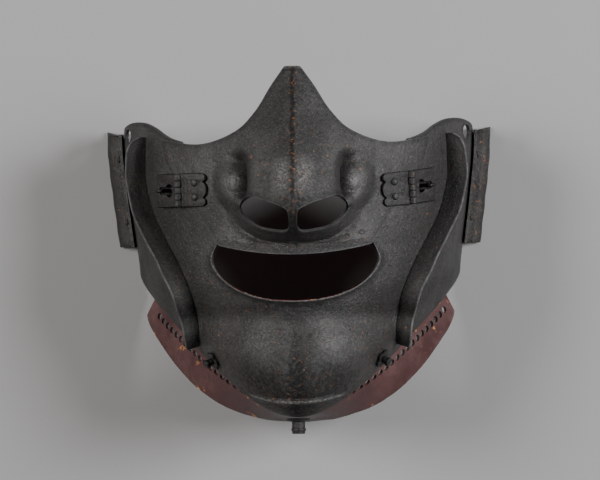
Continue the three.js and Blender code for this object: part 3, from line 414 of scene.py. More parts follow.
# A grid of points cut along the zero line of a field and given its thickness
def cutSheet(outer, normals, field, thick, extra=None):
    rows, columns = field.shape
    p = outer.reshape(-1, 3)
    n = normals.reshape(-1, 3)
    f = field.reshape(-1).copy()
    f[np.abs(f) < 1e-4] = 1e-4
    extras = {k: v.reshape(-1) for k, v in (extra or {}).items()}
    i, j = np.meshgrid(np.arange(rows - 1), np.arange(columns - 1), indexing="ij")
    a = (i * columns + j).ravel()
    b, c, d = a + columns, a + columns + 1, a + 1
    quads = np.stack([a, b, c, d], 1)
    signs = f[quads] > 0
    whole = quads[signs.all(1)]
    partly = quads[signs.any(1) & ~signs.all(1)]
    newP, newN, newF, newExtra = [], [], [], {k: [] for k in extras}
    onEdge = {}
    count = len(p)

    def crossing(u, v):
        key = (u, v) if u < v else (v, u)
        if key not in onEdge:
            t = f[u] / (f[u] - f[v])
            onEdge[key] = count + len(newP)
            newP.append(p[u] + t * (p[v] - p[u]))
            newN.append(n[u] + t * (n[v] - n[u]))
            newF.append(0.0)
            for k, values in extras.items():
                newExtra[k].append(values[u] + t * (values[v] - values[u]))
        return onEdge[key]

    faces = [tuple(q) for q in whole]
    for quad in partly:
        ring = []
        for u, v in zip(quad, np.roll(quad, -1)):
            if f[u] > 0:
                ring.append(int(u))
            if (f[u] > 0) != (f[v] > 0):
                ring.append(crossing(int(u), int(v)))
        if len(ring) >= 3:
            faces.append(tuple(ring))
    if newP:
        p = np.vstack([p, newP])
        n = np.vstack([n, newN])
        f = np.concatenate([f, newF])
        extras = {k: np.concatenate([v, newExtra[k]]) for k, v in extras.items()}
    used = np.unique(np.concatenate([np.array(q) for q in faces]))
    renumber = np.full(len(p), -1)
    renumber[used] = np.arange(len(used))
    p, n, f = p[used], unit(n[used]), f[used]
    extras = {k: v[used] for k, v in extras.items()}
    faces = [tuple(int(renumber[v]) for v in q) for q in faces]
    size = len(p)
    directed = set()
    for q in faces:
        for u, v in zip(q, q[1:] + q[:1]):
            directed.add((u, v))
    walls = [(v, u, u + size, v + size) for u, v in directed if (v, u) not in directed]
    inner = [tuple(v + size for v in reversed(q)) for q in faces]
    points = np.vstack([p, p - n * thick])
    marks = {"edge": np.concatenate([f, f])}
    for k, v in extras.items():
        marks[k] = np.concatenate([v, v])
    material = [0] * len(faces) + [1] * len(inner) + [0] * len(walls)
    return points, faces + inner + walls, material, marks


# A body through rings of points, with flat ends
def loft(rings, closedEnds=True):
    rings = np.asarray(rings, float)
    count, sides = rings.shape[:2]
    faces = []
    for i in range(count - 1):
        for j in range(sides):
            a, b = i * sides + j, i * sides + (j + 1) % sides
            faces.append((a, b, b + sides, a + sides))
    if closedEnds:
        faces.append(tuple(range(sides - 1, -1, -1)))
        faces.append(tuple(range((count - 1) * sides, count * sides)))
    return rings.reshape(-1, 3), faces


def outward(points, faces):
    volume = 0.0
    for q in faces:
        for k in range(1, len(q) - 1):
            volume += np.dot(points[q[0]], np.cross(points[q[k]], points[q[k + 1]]))
    return faces if volume > 0 else [tuple(reversed(q)) for q in faces]


def join(*bodies):
    points, faces, start = [], [], 0
    for p, q in bodies:
        points.append(np.asarray(p, float))
        faces += [tuple(v + start for v in one) for one in outward(np.asarray(p, float), q)]
        start += len(p)
    return np.vstack(points), faces


# A turned body about Z from radii and heights, closed on itself where it has a bore
def turnedBody(profile, sides=32, hollow=False):
    around = np.linspace(0, 2 * math.pi, sides, endpoint=False)
    rings = [[(r * math.cos(a), r * math.sin(a), z) for a in around] for r, z in profile]
    if not hollow:
        return loft(rings)
    points, faces = loft(rings, closedEnds=False)
    last = (len(rings) - 1) * sides
    for j in range(sides):
        k = (j + 1) % sides
        faces.append((last + j, last + k, k, j))
    return points, faces


# A round rod along Y
def rodAlong(radius, low, high, sides=20, soften=0.12):
    e = min(soften, 0.3 * (high - low))
    points, faces = turnedBody(
        [(radius - e, low), (radius, low + e), (radius, high - e), (radius - e, high)], sides
    )
    return points[:, [0, 2, 1]] * (1, 1, -1), faces


# A flat plate from an outline and holes, with softened edges
def plateBody(outline, holes, thick, bevel=0.12):
    curve = bpy.data.curves.new("outline", "CURVE")
    curve.dimensions = "2D"
    curve.fill_mode = "BOTH"
    curve.extrude = thick / 2 - bevel
    curve.bevel_depth = bevel
    curve.bevel_resolution = 1
    curve.offset = -bevel
    for loop in [outline] + list(holes):
        spline = curve.splines.new("POLY")
        spline.points.add(len(loop) - 1)
        for point, (x, y) in zip(spline.points, loop):
            point.co = (x, y, 0, 1)
        spline.use_cyclic_u = True
    holder = bpy.data.objects.new("outline", curve)
    bpy.context.collection.objects.link(holder)
    bpy.context.view_layer.update()
    made = holder.evaluated_get(bpy.context.evaluated_depsgraph_get()).to_mesh()
    points = np.array([v.co[:] for v in made.vertices])
    faces = [tuple(q.vertices) for q in made.polygons]
    bpy.data.objects.remove(holder)
    bpy.data.curves.remove(curve)
    return weld(points, faces)


def weld(points, faces, near=1e-4):
    keys, order, renumber = {}, [], []
    for i, p in enumerate(points):
        key = tuple(np.round(p / near).astype(int))
        if key not in keys:
            keys[key] = len(order)
            order.append(i)
        renumber.append(keys[key])
    out = []
    for q in faces:
        ring = []
        for v in q:
            w = renumber[v]
            if not ring or ring[-1] != w:
                ring.append(w)
        if ring[0] == ring[-1]:
            ring = ring[:-1]
        if len(set(ring)) >= 3:
            out.append(tuple(ring))
    return points[order], out


def placed(body, axes, at):
    points, faces = body
    return points @ np.asarray(axes) + np.asarray(at), faces


def turnedAboutY(body, angle):
    points, faces = body
    c, s = math.cos(angle), math.sin(angle)
    x, y, z = points.T
    return np.stack([c * x + s * z, y, -s * x + c * z], 1), faces


def subdivided(outline, most):
    out = []
    for a, b in zip(np.asarray(outline, float), np.roll(np.asarray(outline, float), -1, 0)):
        steps = max(1, int(np.linalg.norm(b - a) / most))
        out += [a + (b - a) * k / steps for k in range(steps)]
    return np.array(out)


print("camera, floor and light")
view = {"height": 1.4, "side": 0.034, "span": 0.288, "rollDegrees": 0.8, "lookAt": (0.0, 0.0053, 0.0)}


def makeCamera():
    camera = bpy.data.cameras.new("camera")
    camera.sensor_width = 36
    holder = bpy.data.objects.new("camera", camera)
    bpy.context.collection.objects.link(holder)
    target = Vector(view["lookAt"])
    place = Vector((view["side"], view["lookAt"][1], view["height"]))
    distance = (place - target).length
    camera.lens = 36 * distance / view["span"]
    camera.clip_start = 0.05
    camera.clip_end = 20
    back = (place - target).normalized()
    right = Vector((0, 1, 0)).cross(back).normalized()
    upward = back.cross(right)
    turn = Matrix((right, upward, back)).transposed()
    roll = Matrix.Rotation(math.radians(-view["rollDegrees"]), 3, "Z")
    holder.matrix_world = Matrix.Translation(place) @ (turn @ roll).to_4x4()
    bpy.context.scene.camera = holder


def shader(name, roughness=0.5, metallic=0.0):
    material = bpy.data.materials.new(name)
    material.use_nodes = True
    tree = material.node_tree
    surface = tree.nodes["Principled BSDF"]
    surface.inputs["Roughness"].default_value = roughness
    surface.inputs["Metallic"].default_value = metallic
    return material, tree, surface


def node(tree, kind, **settings):
    made = tree.nodes.new(kind)
    for key, value in settings.items():
        if key in made.inputs.keys():
            made.inputs[key].default_value = value
        else:
            setattr(made, key, value)
    return made


def objectPlace(tree):
    return node(tree, "ShaderNodeTexCoord").outputs["Object"]


def noise(tree, scale, detail=4.0, roughness=0.55, place=None):
    made = node(tree, "ShaderNodeTexNoise", Scale=scale, Detail=detail, Roughness=roughness)
    tree.links.new(place or objectPlace(tree), made.inputs["Vector"])
    return made.outputs["Fac"]


def step(tree, value, low, high, outLow=0.0, outHigh=1.0):
    made = node(tree, "ShaderNodeMapRange")
    tree.links.new(value, made.inputs["Value"])
    made.inputs["From Min"].default_value = low
    made.inputs["From Max"].default_value = high
    made.inputs["To Min"].default_value = outLow
    made.inputs["To Max"].default_value = outHigh
    return made.outputs["Result"]


def maths(tree, operation, a, b):
    made = node(tree, "ShaderNodeMath", operation=operation)
    for slot, value in zip(made.inputs, (a, b)):
        if isinstance(value, (int, float)):
            slot.default_value = value
        else:
            tree.links.new(value, slot)
    return made.outputs[0]


def times(tree, a, b):
    return maths(tree, "MULTIPLY", a, b)


def plus(tree, a, b):
    return maths(tree, "ADD", a, b)


def mixed(tree, share, a, b):
    made = node(tree, "ShaderNodeMix", data_type="RGBA")
    tree.links.new(share, made.inputs[0])
    for slot, value in ((made.inputs[6], a), (made.inputs[7], b)):
        if isinstance(value, tuple):
            slot.default_value = (*value, 1)
        else:
            tree.links.new(value, slot)
    return made.outputs[2]


def mark(tree, key):
    made = node(tree, "ShaderNodeAttribute", attribute_name=key)
    return made.outputs["Fac"]


def bumped(tree, surface, heights):
    last = None
    for value, strength, distance in heights:
        made = node(tree, "ShaderNodeBump", Strength=strength, Distance=distance)
        tree.links.new(value, made.inputs["Height"])
        if last:
            tree.links.new(last, made.inputs["Normal"])
        last = made.outputs["Normal"]
    tree.links.new(last, surface.inputs["Normal"])


table = {"colour": (0.24, 0.238, 0.238), "half": 3.0}
lights = {
    "key": {"at": (1.15, 0.26, 1.05), "size": 0.7, "power": 45, "colour": (0.985, 0.992, 1)},
    "fill": {"at": (-1.05, 0.3, 1.1), "size": 0.7, "power": 29.5, "colour": (1, 0.985, 0.965)},
    "world": 0.035, "aim": (0, 0, 0.05),
}


def makeTable():
    material, tree, surface = shader("tablePaper", 0.9)
    grain = noise(tree, 900, 3)
    tone = mixed(tree, grain, table["colour"], tuple(0.96 * c for c in table["colour"]))
    tree.links.new(tone, surface.inputs["Base Color"])
    half = table["half"]
    mesh = bpy.data.meshes.new("table")
    corners = [(-half, -half, 0), (half, -half, 0), (half, half, 0), (-half, half, 0)]
    mesh.from_pydata(corners, [], [(0, 1, 2, 3)])
    mesh.materials.append(material)
    floor = bpy.data.objects.new("table", mesh)
    bpy.context.collection.objects.link(floor)


def makeLights():
    for name in ("key", "fill"):
        wanted = lights[name]
        light = bpy.data.lights.new(name, "AREA")
        light.shape = "DISK"
        light.size = wanted["size"]
        light.energy = wanted["power"]
        light.color = wanted["colour"]
        holder = bpy.data.objects.new(name, light)
        bpy.context.collection.objects.link(holder)
        place = Vector(wanted["at"])
        turn = (Vector(lights["aim"]) - place).to_track_quat("-Z", "Y")
        holder.matrix_world = Matrix.Translation(place) @ turn.to_matrix().to_4x4()
    world = bpy.data.worlds.new("studio")
    bpy.context.scene.world = world
    world.use_nodes = True
    back = world.node_tree.nodes["Background"]
    back.inputs["Color"].default_value = (1, 1, 1, 1)
    back.inputs["Strength"].default_value = lights["world"]


makeCamera()
makeTable()
makeLights()


print("finishes")
# worn lightens rubbed edges and the painted highlights; grime darkens pits, soot, the painted shade and the
# edges
iron = {
    "dark": (0.0145, 0.0136, 0.013), "pale": (0.034, 0.0320, 0.031), "worn": (0.22, 0.215, 0.21),
    "rust": (0.33, 0.115, 0.035), "grime": (0.007, 0.0065, 0.0065), "dust": (0.15, 0.145, 0.14),
}


# Browned iron: cloudy tone, dust, pits, soot with painted shade, rust specks, painted highlights, and wear at
# the edges with a painted glint
def ironFinish(name, tint=1.0, rough=0.5, metallic=0.35, rusty=1.0, grain=1.0, edgeWearAndGlint=1.0):
    material, tree, surface = shader(name, rough, metallic)
    place = objectPlace(tree)
    scaled = lambda c: tuple(min(tint * v, 1) for v in c)
    cloud = step(tree, noise(tree, 45, 5, 0.6, place), 0.35, 0.68)
    tone = mixed(tree, cloud, scaled(iron["dark"]), scaled(iron["pale"]))
    fine = noise(tree, 1500, 3, 0.7, place)
    tone = mixed(tree, step(tree, fine, 0.55, 0.70, 0, 0.55 * grain), tone, scaled(iron["dust"]))
    pits = noise(tree, 620, 4, 0.65, place)
    tone = mixed(tree, step(tree, pits, 0.46, 0.32, 0, 0.9), tone, iron["grime"])
    # Soot and painted shade, darkening towards grime
    sootAndShade = times(tree, mark(tree, "sootAndShade"), step(tree, pits, 0.62, 0.40, 0.45, 1))
    tone = mixed(tree, sootAndShade, tone, iron["grime"])
    clusters = step(tree, noise(tree, 38, 4, 0.6, place), 0.46, 0.72, 0.12, 1)
    specks = step(tree, noise(tree, 560, 3, 0.6, place), 0.655, 0.72)
    rust = times(tree, times(tree, clusters, specks), 0.8 * rusty)
    near = mark(tree, "rusty")
    line = times(tree, step(tree, noise(tree, 420, 5, 0.75, place), 0.57, 0.70, 0, 0.8), near)
    tone = mixed(tree, plus(tree, rust, line), tone, iron["rust"])
    border = times(tree, step(tree, mark(tree, "edge"), 2.6, 0.8), step(tree, pits, 0.60, 0.44, 0.5, 0.95))
    tone = mixed(tree, border, tone, iron["grime"])
    # Painted highlights, lightening towards worn iron
    brushed = step(tree, noise(tree, 900, 4, 0.7, place), 0.44, 0.62, 0.15, 1)
    paintedHighlight = times(tree, mark(tree, "paintedHighlight"), brushed)
    tone = mixed(tree, paintedHighlight, tone, iron["worn"])
    # Wear at the edges, also a painted glint where edges catch the light
    edge = step(tree, mark(tree, "edge"), 0.55, 0.05)
    wearAndGlint = step(tree, noise(tree, 260, 4, 0.6, place), 0.42, 0.66, 0.35 * edgeWearAndGlint, 0.75 * edgeWearAndGlint)
    chippedAndGlint = times(tree, edge, wearAndGlint)
    tone = mixed(tree, chippedAndGlint, tone, iron["worn"])
    tree.links.new(tone, surface.inputs["Base Color"])
    roughness = plus(tree, step(tree, cloud, 0, 1, rough + 0.07, rough - 0.06), times(tree, fine, 0.12))
    roughness = plus(tree, roughness, times(tree, sootAndShade, 0.25))
    tree.links.new(step(tree, sootAndShade, 0, 1, metallic, 0.05), surface.inputs["Metallic"])
    tree.links.new(step(tree, sootAndShade, 0, 1, 0.5, 0.18), surface.inputs["Specular IOR Level"])
    tree.links.new(roughness, surface.inputs["Roughness"])
    dents = noise(tree, 130, 4, 0.6, place)
    bumped(tree, surface, [(dents, 0.4, 0.0008), (pits, 0.75 * grain, 0.0005), (fine, 0.8 * grain, 0.0003)])
    return material


# Red lacquer: cloudy and smeared, with fine cracks and chips near the edge
def lacquerFinish(name, tone=(0.036, 0.0085, 0.0085), dusty=(0.079, 0.032, 0.031), rough=0.42):
    material, tree, surface = shader(name, rough)
    place = objectPlace(tree)
    cloud = step(tree, noise(tree, 55, 5, 0.62, place), 0.36, 0.66)
    colour = mixed(tree, cloud, tone, dusty)
    smear = step(tree, noise(tree, 420, 4, 0.7, place), 0.35, 0.7, 0, 0.35)
    colour = mixed(tree, smear, colour, tuple(0.55 * c for c in tone))
    crack = node(tree, "ShaderNodeTexVoronoi", feature="DISTANCE_TO_EDGE", Scale=115)
    stretched = node(tree, "ShaderNodeVectorMath", operation="ADD")
    wobble = node(tree, "ShaderNodeTexNoise", Scale=160, Detail=3)
    tree.links.new(place, wobble.inputs["Vector"])
    scaledWobble = node(tree, "ShaderNodeVectorMath", operation="SCALE", Scale=0.006)
    tree.links.new(wobble.outputs["Color"], scaledWobble.inputs[0])
    tree.links.new(place, stretched.inputs[0])
    tree.links.new(scaledWobble.outputs[0], stretched.inputs[1])
    tree.links.new(stretched.outputs[0], crack.inputs["Vector"])
    cracked = step(tree, noise(tree, 60, 3, 0.5, place), 0.52, 0.62)
    shut = times(tree, step(tree, crack.outputs["Distance"], 0.028, 0.0), cracked)
    colour = mixed(tree, shut, colour, (0.03, 0.012, 0.012))
    flakes = step(tree, noise(tree, 150, 4, 0.6, place), 0.635, 0.655)
    chips = times(tree, flakes, step(tree, mark(tree, "edge"), 4.5, 1.5))
    colour = mixed(tree, chips, colour, (0.36, 0.15, 0.045))
    worn = step(tree, noise(tree, 240, 4, 0.6, place), 0.45, 0.6)
    edge = times(tree, step(tree, mark(tree, "edge"), 0.7, 0.1), worn)
    colour = mixed(tree, edge, colour, (0.05, 0.03, 0.025))
    tree.links.new(colour, surface.inputs["Base Color"])
    tree.links.new(step(tree, cloud, 0, 1, rough - 0.05, rough + 0.2), surface.inputs["Roughness"])
    dents = noise(tree, 90, 4, 0.6, place)
    bumped(tree, surface, [(dents, 0.25, 0.0008), (shut, -0.5, 0.0002), (smear, 0.15, 0.0002)])
    return material


russetIron = ironFinish("russetIron", rough=0.45, edgeWearAndGlint=0.22)
darkIron = ironFinish("guardIron", tint=0.8, rough=0.6, rusty=0.9, edgeWearAndGlint=0.6)
fittingIron = ironFinish("fittingIron", tint=0.85, rough=0.45, metallic=0.4, rusty=0.5, edgeWearAndGlint=0.3)
brightIron = ironFinish("brightIron", tint=2.2, rough=0.34, metallic=0.75, rusty=0.35, grain=0.7)
redLacquer = lacquerFinish("redLacquer")
innerLacquer = lacquerFinish("innerLacquer", (0.075, 0.013, 0.010), (0.10, 0.026, 0.02), 0.3)


print("jaw plate")

# Counts of rows and columns in the formed sheets
fine = {
    "jawRows": 215, "jawTurns": 250, "noseRows": 230, "noseTurns": 270, "throatSide": 330, "throatDown": 44,
}

mouthLine = splinePoints([(x * mouth["half"], y * mouth["drop"]) for x, y in mouth["edge"]], 60)[::-1]


def windowOutline():
    inward = [(x * face["wide"] - plateLap, y * face["tall"]) for x, y in nose["sideEdge"][:4]]
    right = [tuple(p) for p in mouthLine] + inward[::-1] + [(inward[0][0], face["tall"])]
    left = [(-x, y) for x, y in right[1:]][::-1]
    return right + left


def earHoleOutline():
    middle = (ear["holeMiddle"][0] * face["deep"], ear["holeMiddle"][1] * face["tall"])
    out = []
    for a in np.linspace(0, 2 * math.pi, 48, endpoint=False):
        pinch = 1 + 0.55 * math.sin(a) if math.sin(a) < 0 else 1
        across, upward = ear["holeLong"] / 2 * math.cos(a) * pinch, ear["holeTall"] / 2 * math.sin(a)
        out.append((middle[0] + across, middle[1] + upward))
    return out


# Distance from the bent ridge under the chin, and how far along it as a share
def chinRidge(x, y):
    share = np.abs(x) / chin["ridgeHalf"]
    return y - chin["ridgeY"] - chin["ridgeBow"] * np.minimum(share, 1.2) ** 2, share


def jawDetail(x, y):
    edge = -insideDistance(np.abs(x), y, np.vstack([mouthLine, [(40, 30), (0, 30)]]))
    rim = mouth["rim"] * bell((edge - mouth["rimAt"]) / mouth["rimHalf"]) * ramp(*mouth["startsY"], y)
    away, share = chinRidge(x, y)
    ridge = chin["ridgeRise"] * bell(away / chin["ridgeWide"]) * (1 - ramp(0.8, 1.15, share))
    fill = chin["fill"] * bell((y + 39) / 9) * (1 - ramp(20, 44, np.abs(x)))
    return jawRelief(x, y) + rim + ridge + fill + beaten(x, y, chin["uneven"])


def makeJaw():
    place = np.linspace(rowOf("ear"), lastRow, fine["jawRows"])[:, None]
    turn = np.linspace(-1, 1, fine["jawTurns"])[None, :]
    turn = np.sign(turn) * np.abs(turn) ** 0.92
    place, turn = np.broadcast_arrays(place, turn)
    outer, normals, _ = faceFrame(place, turn, jawDetail)
    x, y, z = outer[..., 0], outer[..., 1], outer[..., 2]
    window = -insideDistance(x, y, windowOutline())
    lobe = splinePoints([(a * face["deep"], b * face["tall"]) for a, b in ear["lobe"]], 90)
    lobeTop = np.interp(z, lobe[:, 0], lobe[:, 1])
    hole = -insideDistance(z, y, earHoleOutline())
    drainAt, drainNormal, _ = faceFrame(float(rowOf("drain")), 0.0)
    away = outer - drainAt
    beside = away - (away @ drainNormal)[..., None] * drainNormal
    drain = np.where(np.abs(away @ drainNormal) < 6, np.linalg.norm(beside, axis=-1) - 1.9, 99)
    rimDistance = (1 - np.abs(turn)) * 60 + 0.3
    field = np.minimum.reduce([window, (lobeTop - y) * 0.96, hole, drain])
    away, share = chinRidge(x, y)
    belowLip = ramp(*mouth["startsY"], y)
    # Painted shade in a band outside the mouth's rim and over the chin; painted highlights along the chin
    # ridge, the rim and the chin's bulges
    sootAndShade = mouth["sootAndShade"] * bell((window - mouth["shadeAt"]) / mouth["shadeHalf"]) * belowLip
    sootAndShade = sootAndShade + patches(x, y, chin["sootAndShade"])
    paintedHighlight = chin["ridgeHighlight"] * bell(away / 0.9) * (1 - ramp(0.85, 1.1, share))
    paintedHighlight = paintedHighlight + mouth["paintedHighlight"] * bell(window / mouth["highlightHalf"]) * belowLip
    paintedHighlight = paintedHighlight + patches(x, y, chin["paintedHighlight"])
    tones = {"rusty": patches(x, y, chin["rust"]), "rim": rimDistance, "sootAndShade": sootAndShade, "paintedHighlight": paintedHighlight}
    points, faces, material, marks = cutSheet(outer, normals, field, face["thick"], tones)
    marks["edge"] = np.minimum(marks["edge"], marks.pop("rim"))
    piece = newPiece("jawShell", points, faces, [russetIron, innerLacquer], material, 40, marks)
    standFor(piece, "jaw_plate")


makeJaw()


print("nose plate")


def noseOutline():
    top = splinePoints([(x * face["wide"], y * face["tall"]) for x, y in nose["topEdge"]], 70)
    side = splinePoints([(x * face["wide"], y * face["tall"]) for x, y in nose["sideEdge"]], 50)
    corner, middle = side[-1], np.array([0, nose["lipMiddle"] * face["tall"]])
    bow = np.array([corner[0] / 2, middle[1]])
    t = np.linspace(0, 1, 24)[:, None]
    lip = (1 - t) ** 2 * corner + 2 * t * (1 - t) * bow + t * t * middle
    right = np.vstack([top, side[1:], lip[1:]])
    return np.vstack([right, mirrored(right[:-1])])


def makeNose():
    place = np.linspace(0, rowOf("lip"), fine["noseRows"])[:, None]
    reach = findOnFace(0.78 * face["wide"], 0.25 * face["tall"])[1]
    turn = np.linspace(-reach, reach, fine["noseTurns"])[None, :]
    place, turn = np.broadcast_arrays(place, turn)
    point, normals, _ = faceFrame(place, turn, noseDetail)
    outer = point + normals * noseLift
    x, y = outer[..., 0], outer[..., 1]
    body = insideDistance(x, y, noseOutline())
    holes = -insideDistance(np.abs(x), y, nostrilOutline)
    field = np.minimum(body, holes)
    wander = x + nose["ridgeWander"] * np.sin(y * 0.9)
    # Soot along the ridge line, painted shade in the upper part of the hollows beside the nose and over its
    # middle, and soot rings round the plugged holes
    sootAndShade = nose["ridgeSoot"] * bell(wander / nose["ridgeSootHalf"]) * ramp(14, 24, y)
    sootAndShade = sootAndShade + nose["hollowShade"] * hollowShare(np.abs(x), y, 0.5) * ramp(28, 40, y)
    sootAndShade = sootAndShade + patches(x, y, nose["sootAndShade"])
    for across, upward in nose["plugs"]:
        away = np.hypot(x - across, 1.2 * (y - upward)) - nose["plugRadius"]
        sootAndShade = sootAndShade + nose["plugSoot"] * bell(away / nose["plugHalf"])
    tones = {"rusty": patches(x, y, nose["rust"]), "sootAndShade": sootAndShade, "paintedHighlight": patches(x, y, nose["paintedHighlight"])}
    points, faces, material, marks = cutSheet(outer, normals, field, face["thick"], tones)
    piece = newPiece("nosePlate", points, faces, [russetIron, innerLacquer], material, 40, marks)
    standFor(piece, "nose_plate")


makeNose()


print("throat plate")
throat = {
    "thick": 1.3, "lap": 4.6, "laceRadius": 1.6, "lacePitch": 4.3, "laceInset": 7.4,
    "uneven": 1.6, "unevenRise": 0.14, "coarseRows": 14,
    "x": [0.895, 0.873, 0.801, 0.693, 0.56, 0.404, 0.211, 0.042],
    "y": [-0.19, -0.247, -0.307, -0.38, -0.446, -0.496, -0.527, -0.537],
    "z": [0.034, 0.068, 0.146, 0.228, 0.301, 0.35, 0.383, 0.388],
}


# Rim, tucked lap and free edge of the throat plate on one side
def throatLines(places, side):
    point, normal, down = faceFrame(places, np.full(len(places), float(side)))
    inward = unit(np.cross(down, normal) * side)
    behind = face["thick"] + 2.5 * face["gap"]
    rim = point - normal * behind - inward * face["gap"]
    lap = rim + inward * throat["lap"] - normal * 2 * face["gap"]
    row = places - rowOf("groove")
    edge = np.stack([
        side * blend(throat["x"], row) * face["wide"], blend(throat["y"], row) * face["tall"],
        blend(throat["z"], row) * face["deep"],
    ], -1)
    return rim, lap, edge, normal


def makeThroat():
    count = fine["throatSide"]
    first, rows = rowOf("groove"), throat["coarseRows"]
    places = np.linspace(first + (lastRow - first) / (rows - 1), lastRow, count)
    right, left = throatLines(places, 1), throatLines(places, -1)
    rim, lap, edge, normal = [np.vstack([a, b[::-1]]) for a, b in zip(right, left)]
    across = throat["lap"] + np.linalg.norm(edge - rim, axis=1).max()
    share = np.linspace(0, 1, fine["throatDown"])
    lapShare = throat["lap"] / across
    t = np.clip(share / lapShare, 0, 1)[None, :, None]
    u = np.clip((share - lapShare) / (1 - lapShare), 0, 1)[None, :, None]
    outer = lap[:, None] * (1 - t) + rim[:, None] * t + (edge - rim)[:, None] * u
    along = np.gradient(outer, axis=0)
    fall = np.gradient(outer, axis=1)
    normals = unit(np.cross(fall, along))
    if np.sum(normals * normal[:, None], -1).mean() < 0:
        normals = -normals
    uneven = beaten(outer[..., 0] * throat["uneven"], outer[..., 1] * throat["uneven"], throat["unevenRise"])
    outer = outer + normals * uneven[..., None] * np.minimum(u, 1)
    width = np.linalg.norm(edge - rim, axis=1)
    coarse = np.linspace(first, lastRow, rows)[1:]
    ends = [throatLines(coarse, 1), throatLines(coarse, -1)]
    rimSpots = np.vstack([ends[0][0], ends[1][0][::-1]])
    edgeSpots = np.vstack([ends[0][2], ends[1][2][::-1]])
    laceLine = rimSpots + unit(edgeSpots - rimSpots) * throat["laceInset"]
    smooth = splinePoints(laceLine, 1200)
    travel = np.concatenate([[0], np.cumsum(np.linalg.norm(np.diff(smooth, axis=0), axis=1))])
    number = int((travel[-1] - 3 * throat["lacePitch"]) // throat["lacePitch"])
    wanted = (1.5 + np.arange(number + 1)) * throat["lacePitch"]
    spots = np.stack([np.interp(wanted, travel, smooth[:, k]) for k in range(3)], 1)
    holes = np.full(outer.shape[:2], 99.0)
    for spot in spots:
        holes = np.minimum(holes, np.linalg.norm(outer - spot, axis=-1) - throat["laceRadius"])
    outerEdge = (1 - u[0, :, 0])[None, :] * width[:, None] + 0.15
    points, faces, material, marks = cutSheet(
        outer, normals, holes, throat["thick"], {"rim": outerEdge, "rusty": np.zeros_like(holes)}
    )
    marks["edge"] = np.minimum(marks["edge"], marks.pop("rim"))
    faces = outward(points, faces)
    piece = newPiece("throatGuard", points, faces, [redLacquer, redLacquer], material, 40, marks)
    standFor(piece, "throat_plate")


makeThroat()


print("cord guards")
guard = {
    "stand": 9.8, "thick": 1.6, "lift": 0.4, "steps": 110, "even": 18,
    "rows": [
        (0.834, 0.306, 0.35), (0.838, 0.285, 0.8), (0.841, 0.234, 1), (0.838, 0.17, 1), (0.793, 0.079, 1),
        (0.719, 0, 1), (0.655, -0.062, 1), (0.584, -0.145, 0.96), (0.551, -0.227, 0.86), (0.541, -0.3, 0.72),
    ],
}


# A standing flange that follows its root line down the cheek
def makeGuard(side, name):
    columns = list(zip(*guard["rows"]))
    steps = np.linspace(0, len(guard["rows"]) - 1, guard["steps"])
    reach = guard["even"]
    xs, ys, stands = [blend(c, steps) for c in columns]
    point, normal, _ = faceFrame(*findOnFace(side * xs * face["wide"], ys * face["tall"]))
    evened = np.array([normal[max(k - reach, 0):k + reach + 1].mean(0) for k in range(len(normal))])
    normal = unit(evened)
    along = unit(np.gradient(point, axis=0))
    sideways = unit(np.cross(along, normal)) * side
    half = guard["thick"] / 2
    shares = [
        (-1, 0), (-1, 0.5), (-1, 0.93), (-0.6, 0.985), (0, 1), (0.6, 0.985), (1, 0.93), (1, 0.5), (1, 0),
    ]
    wave = 0.18 * np.sin(steps * 2.1 + side) + 0.1 * np.sin(steps * 5.3)
    rings = []
    for k in range(len(steps)):
        stand = stands[k] * guard["stand"] + wave[k]
        foot = point[k] + normal[k] * guard["lift"]
        rings.append([foot + sideways[k] * half * a + normal[k] * stand * b for a, b in shares])
    points, faces = loft(rings)
    faces = outward(points, faces)
    fromTop = 1 - np.array([b for a, b in shares])
    # Distance below the free top edge, where the finish paints wear and a bright glint
    edge = 0.8 * (np.abs(stands)[:, None] * guard["stand"] * fromTop + 0.05).ravel()
    rusty = np.full(len(points), 0.12)
    piece = newPiece(f"cordGuard_{name}", points, faces, [darkIron], None, 40, {"edge": edge, "rusty": rusty})
    standFor(piece, f"cord_guard_{name}")


print("wing strips")
wing = {"top": 51.2, "bottom": -2.4, "leg": 10, "panel": 4.3, "lip": 5.6, "thick": 1.3, "spur": 1.8}


def sideAt(y):
    above, below = 0.0, float(rowOf("lip"))
    for _ in range(26):
        middle = (above + below) / 2
        if cheekPoint(middle, 1.0)[1] > y:
            above = middle
        else:
            below = middle
    return float(cheekPoint(above, 1.0)[0])


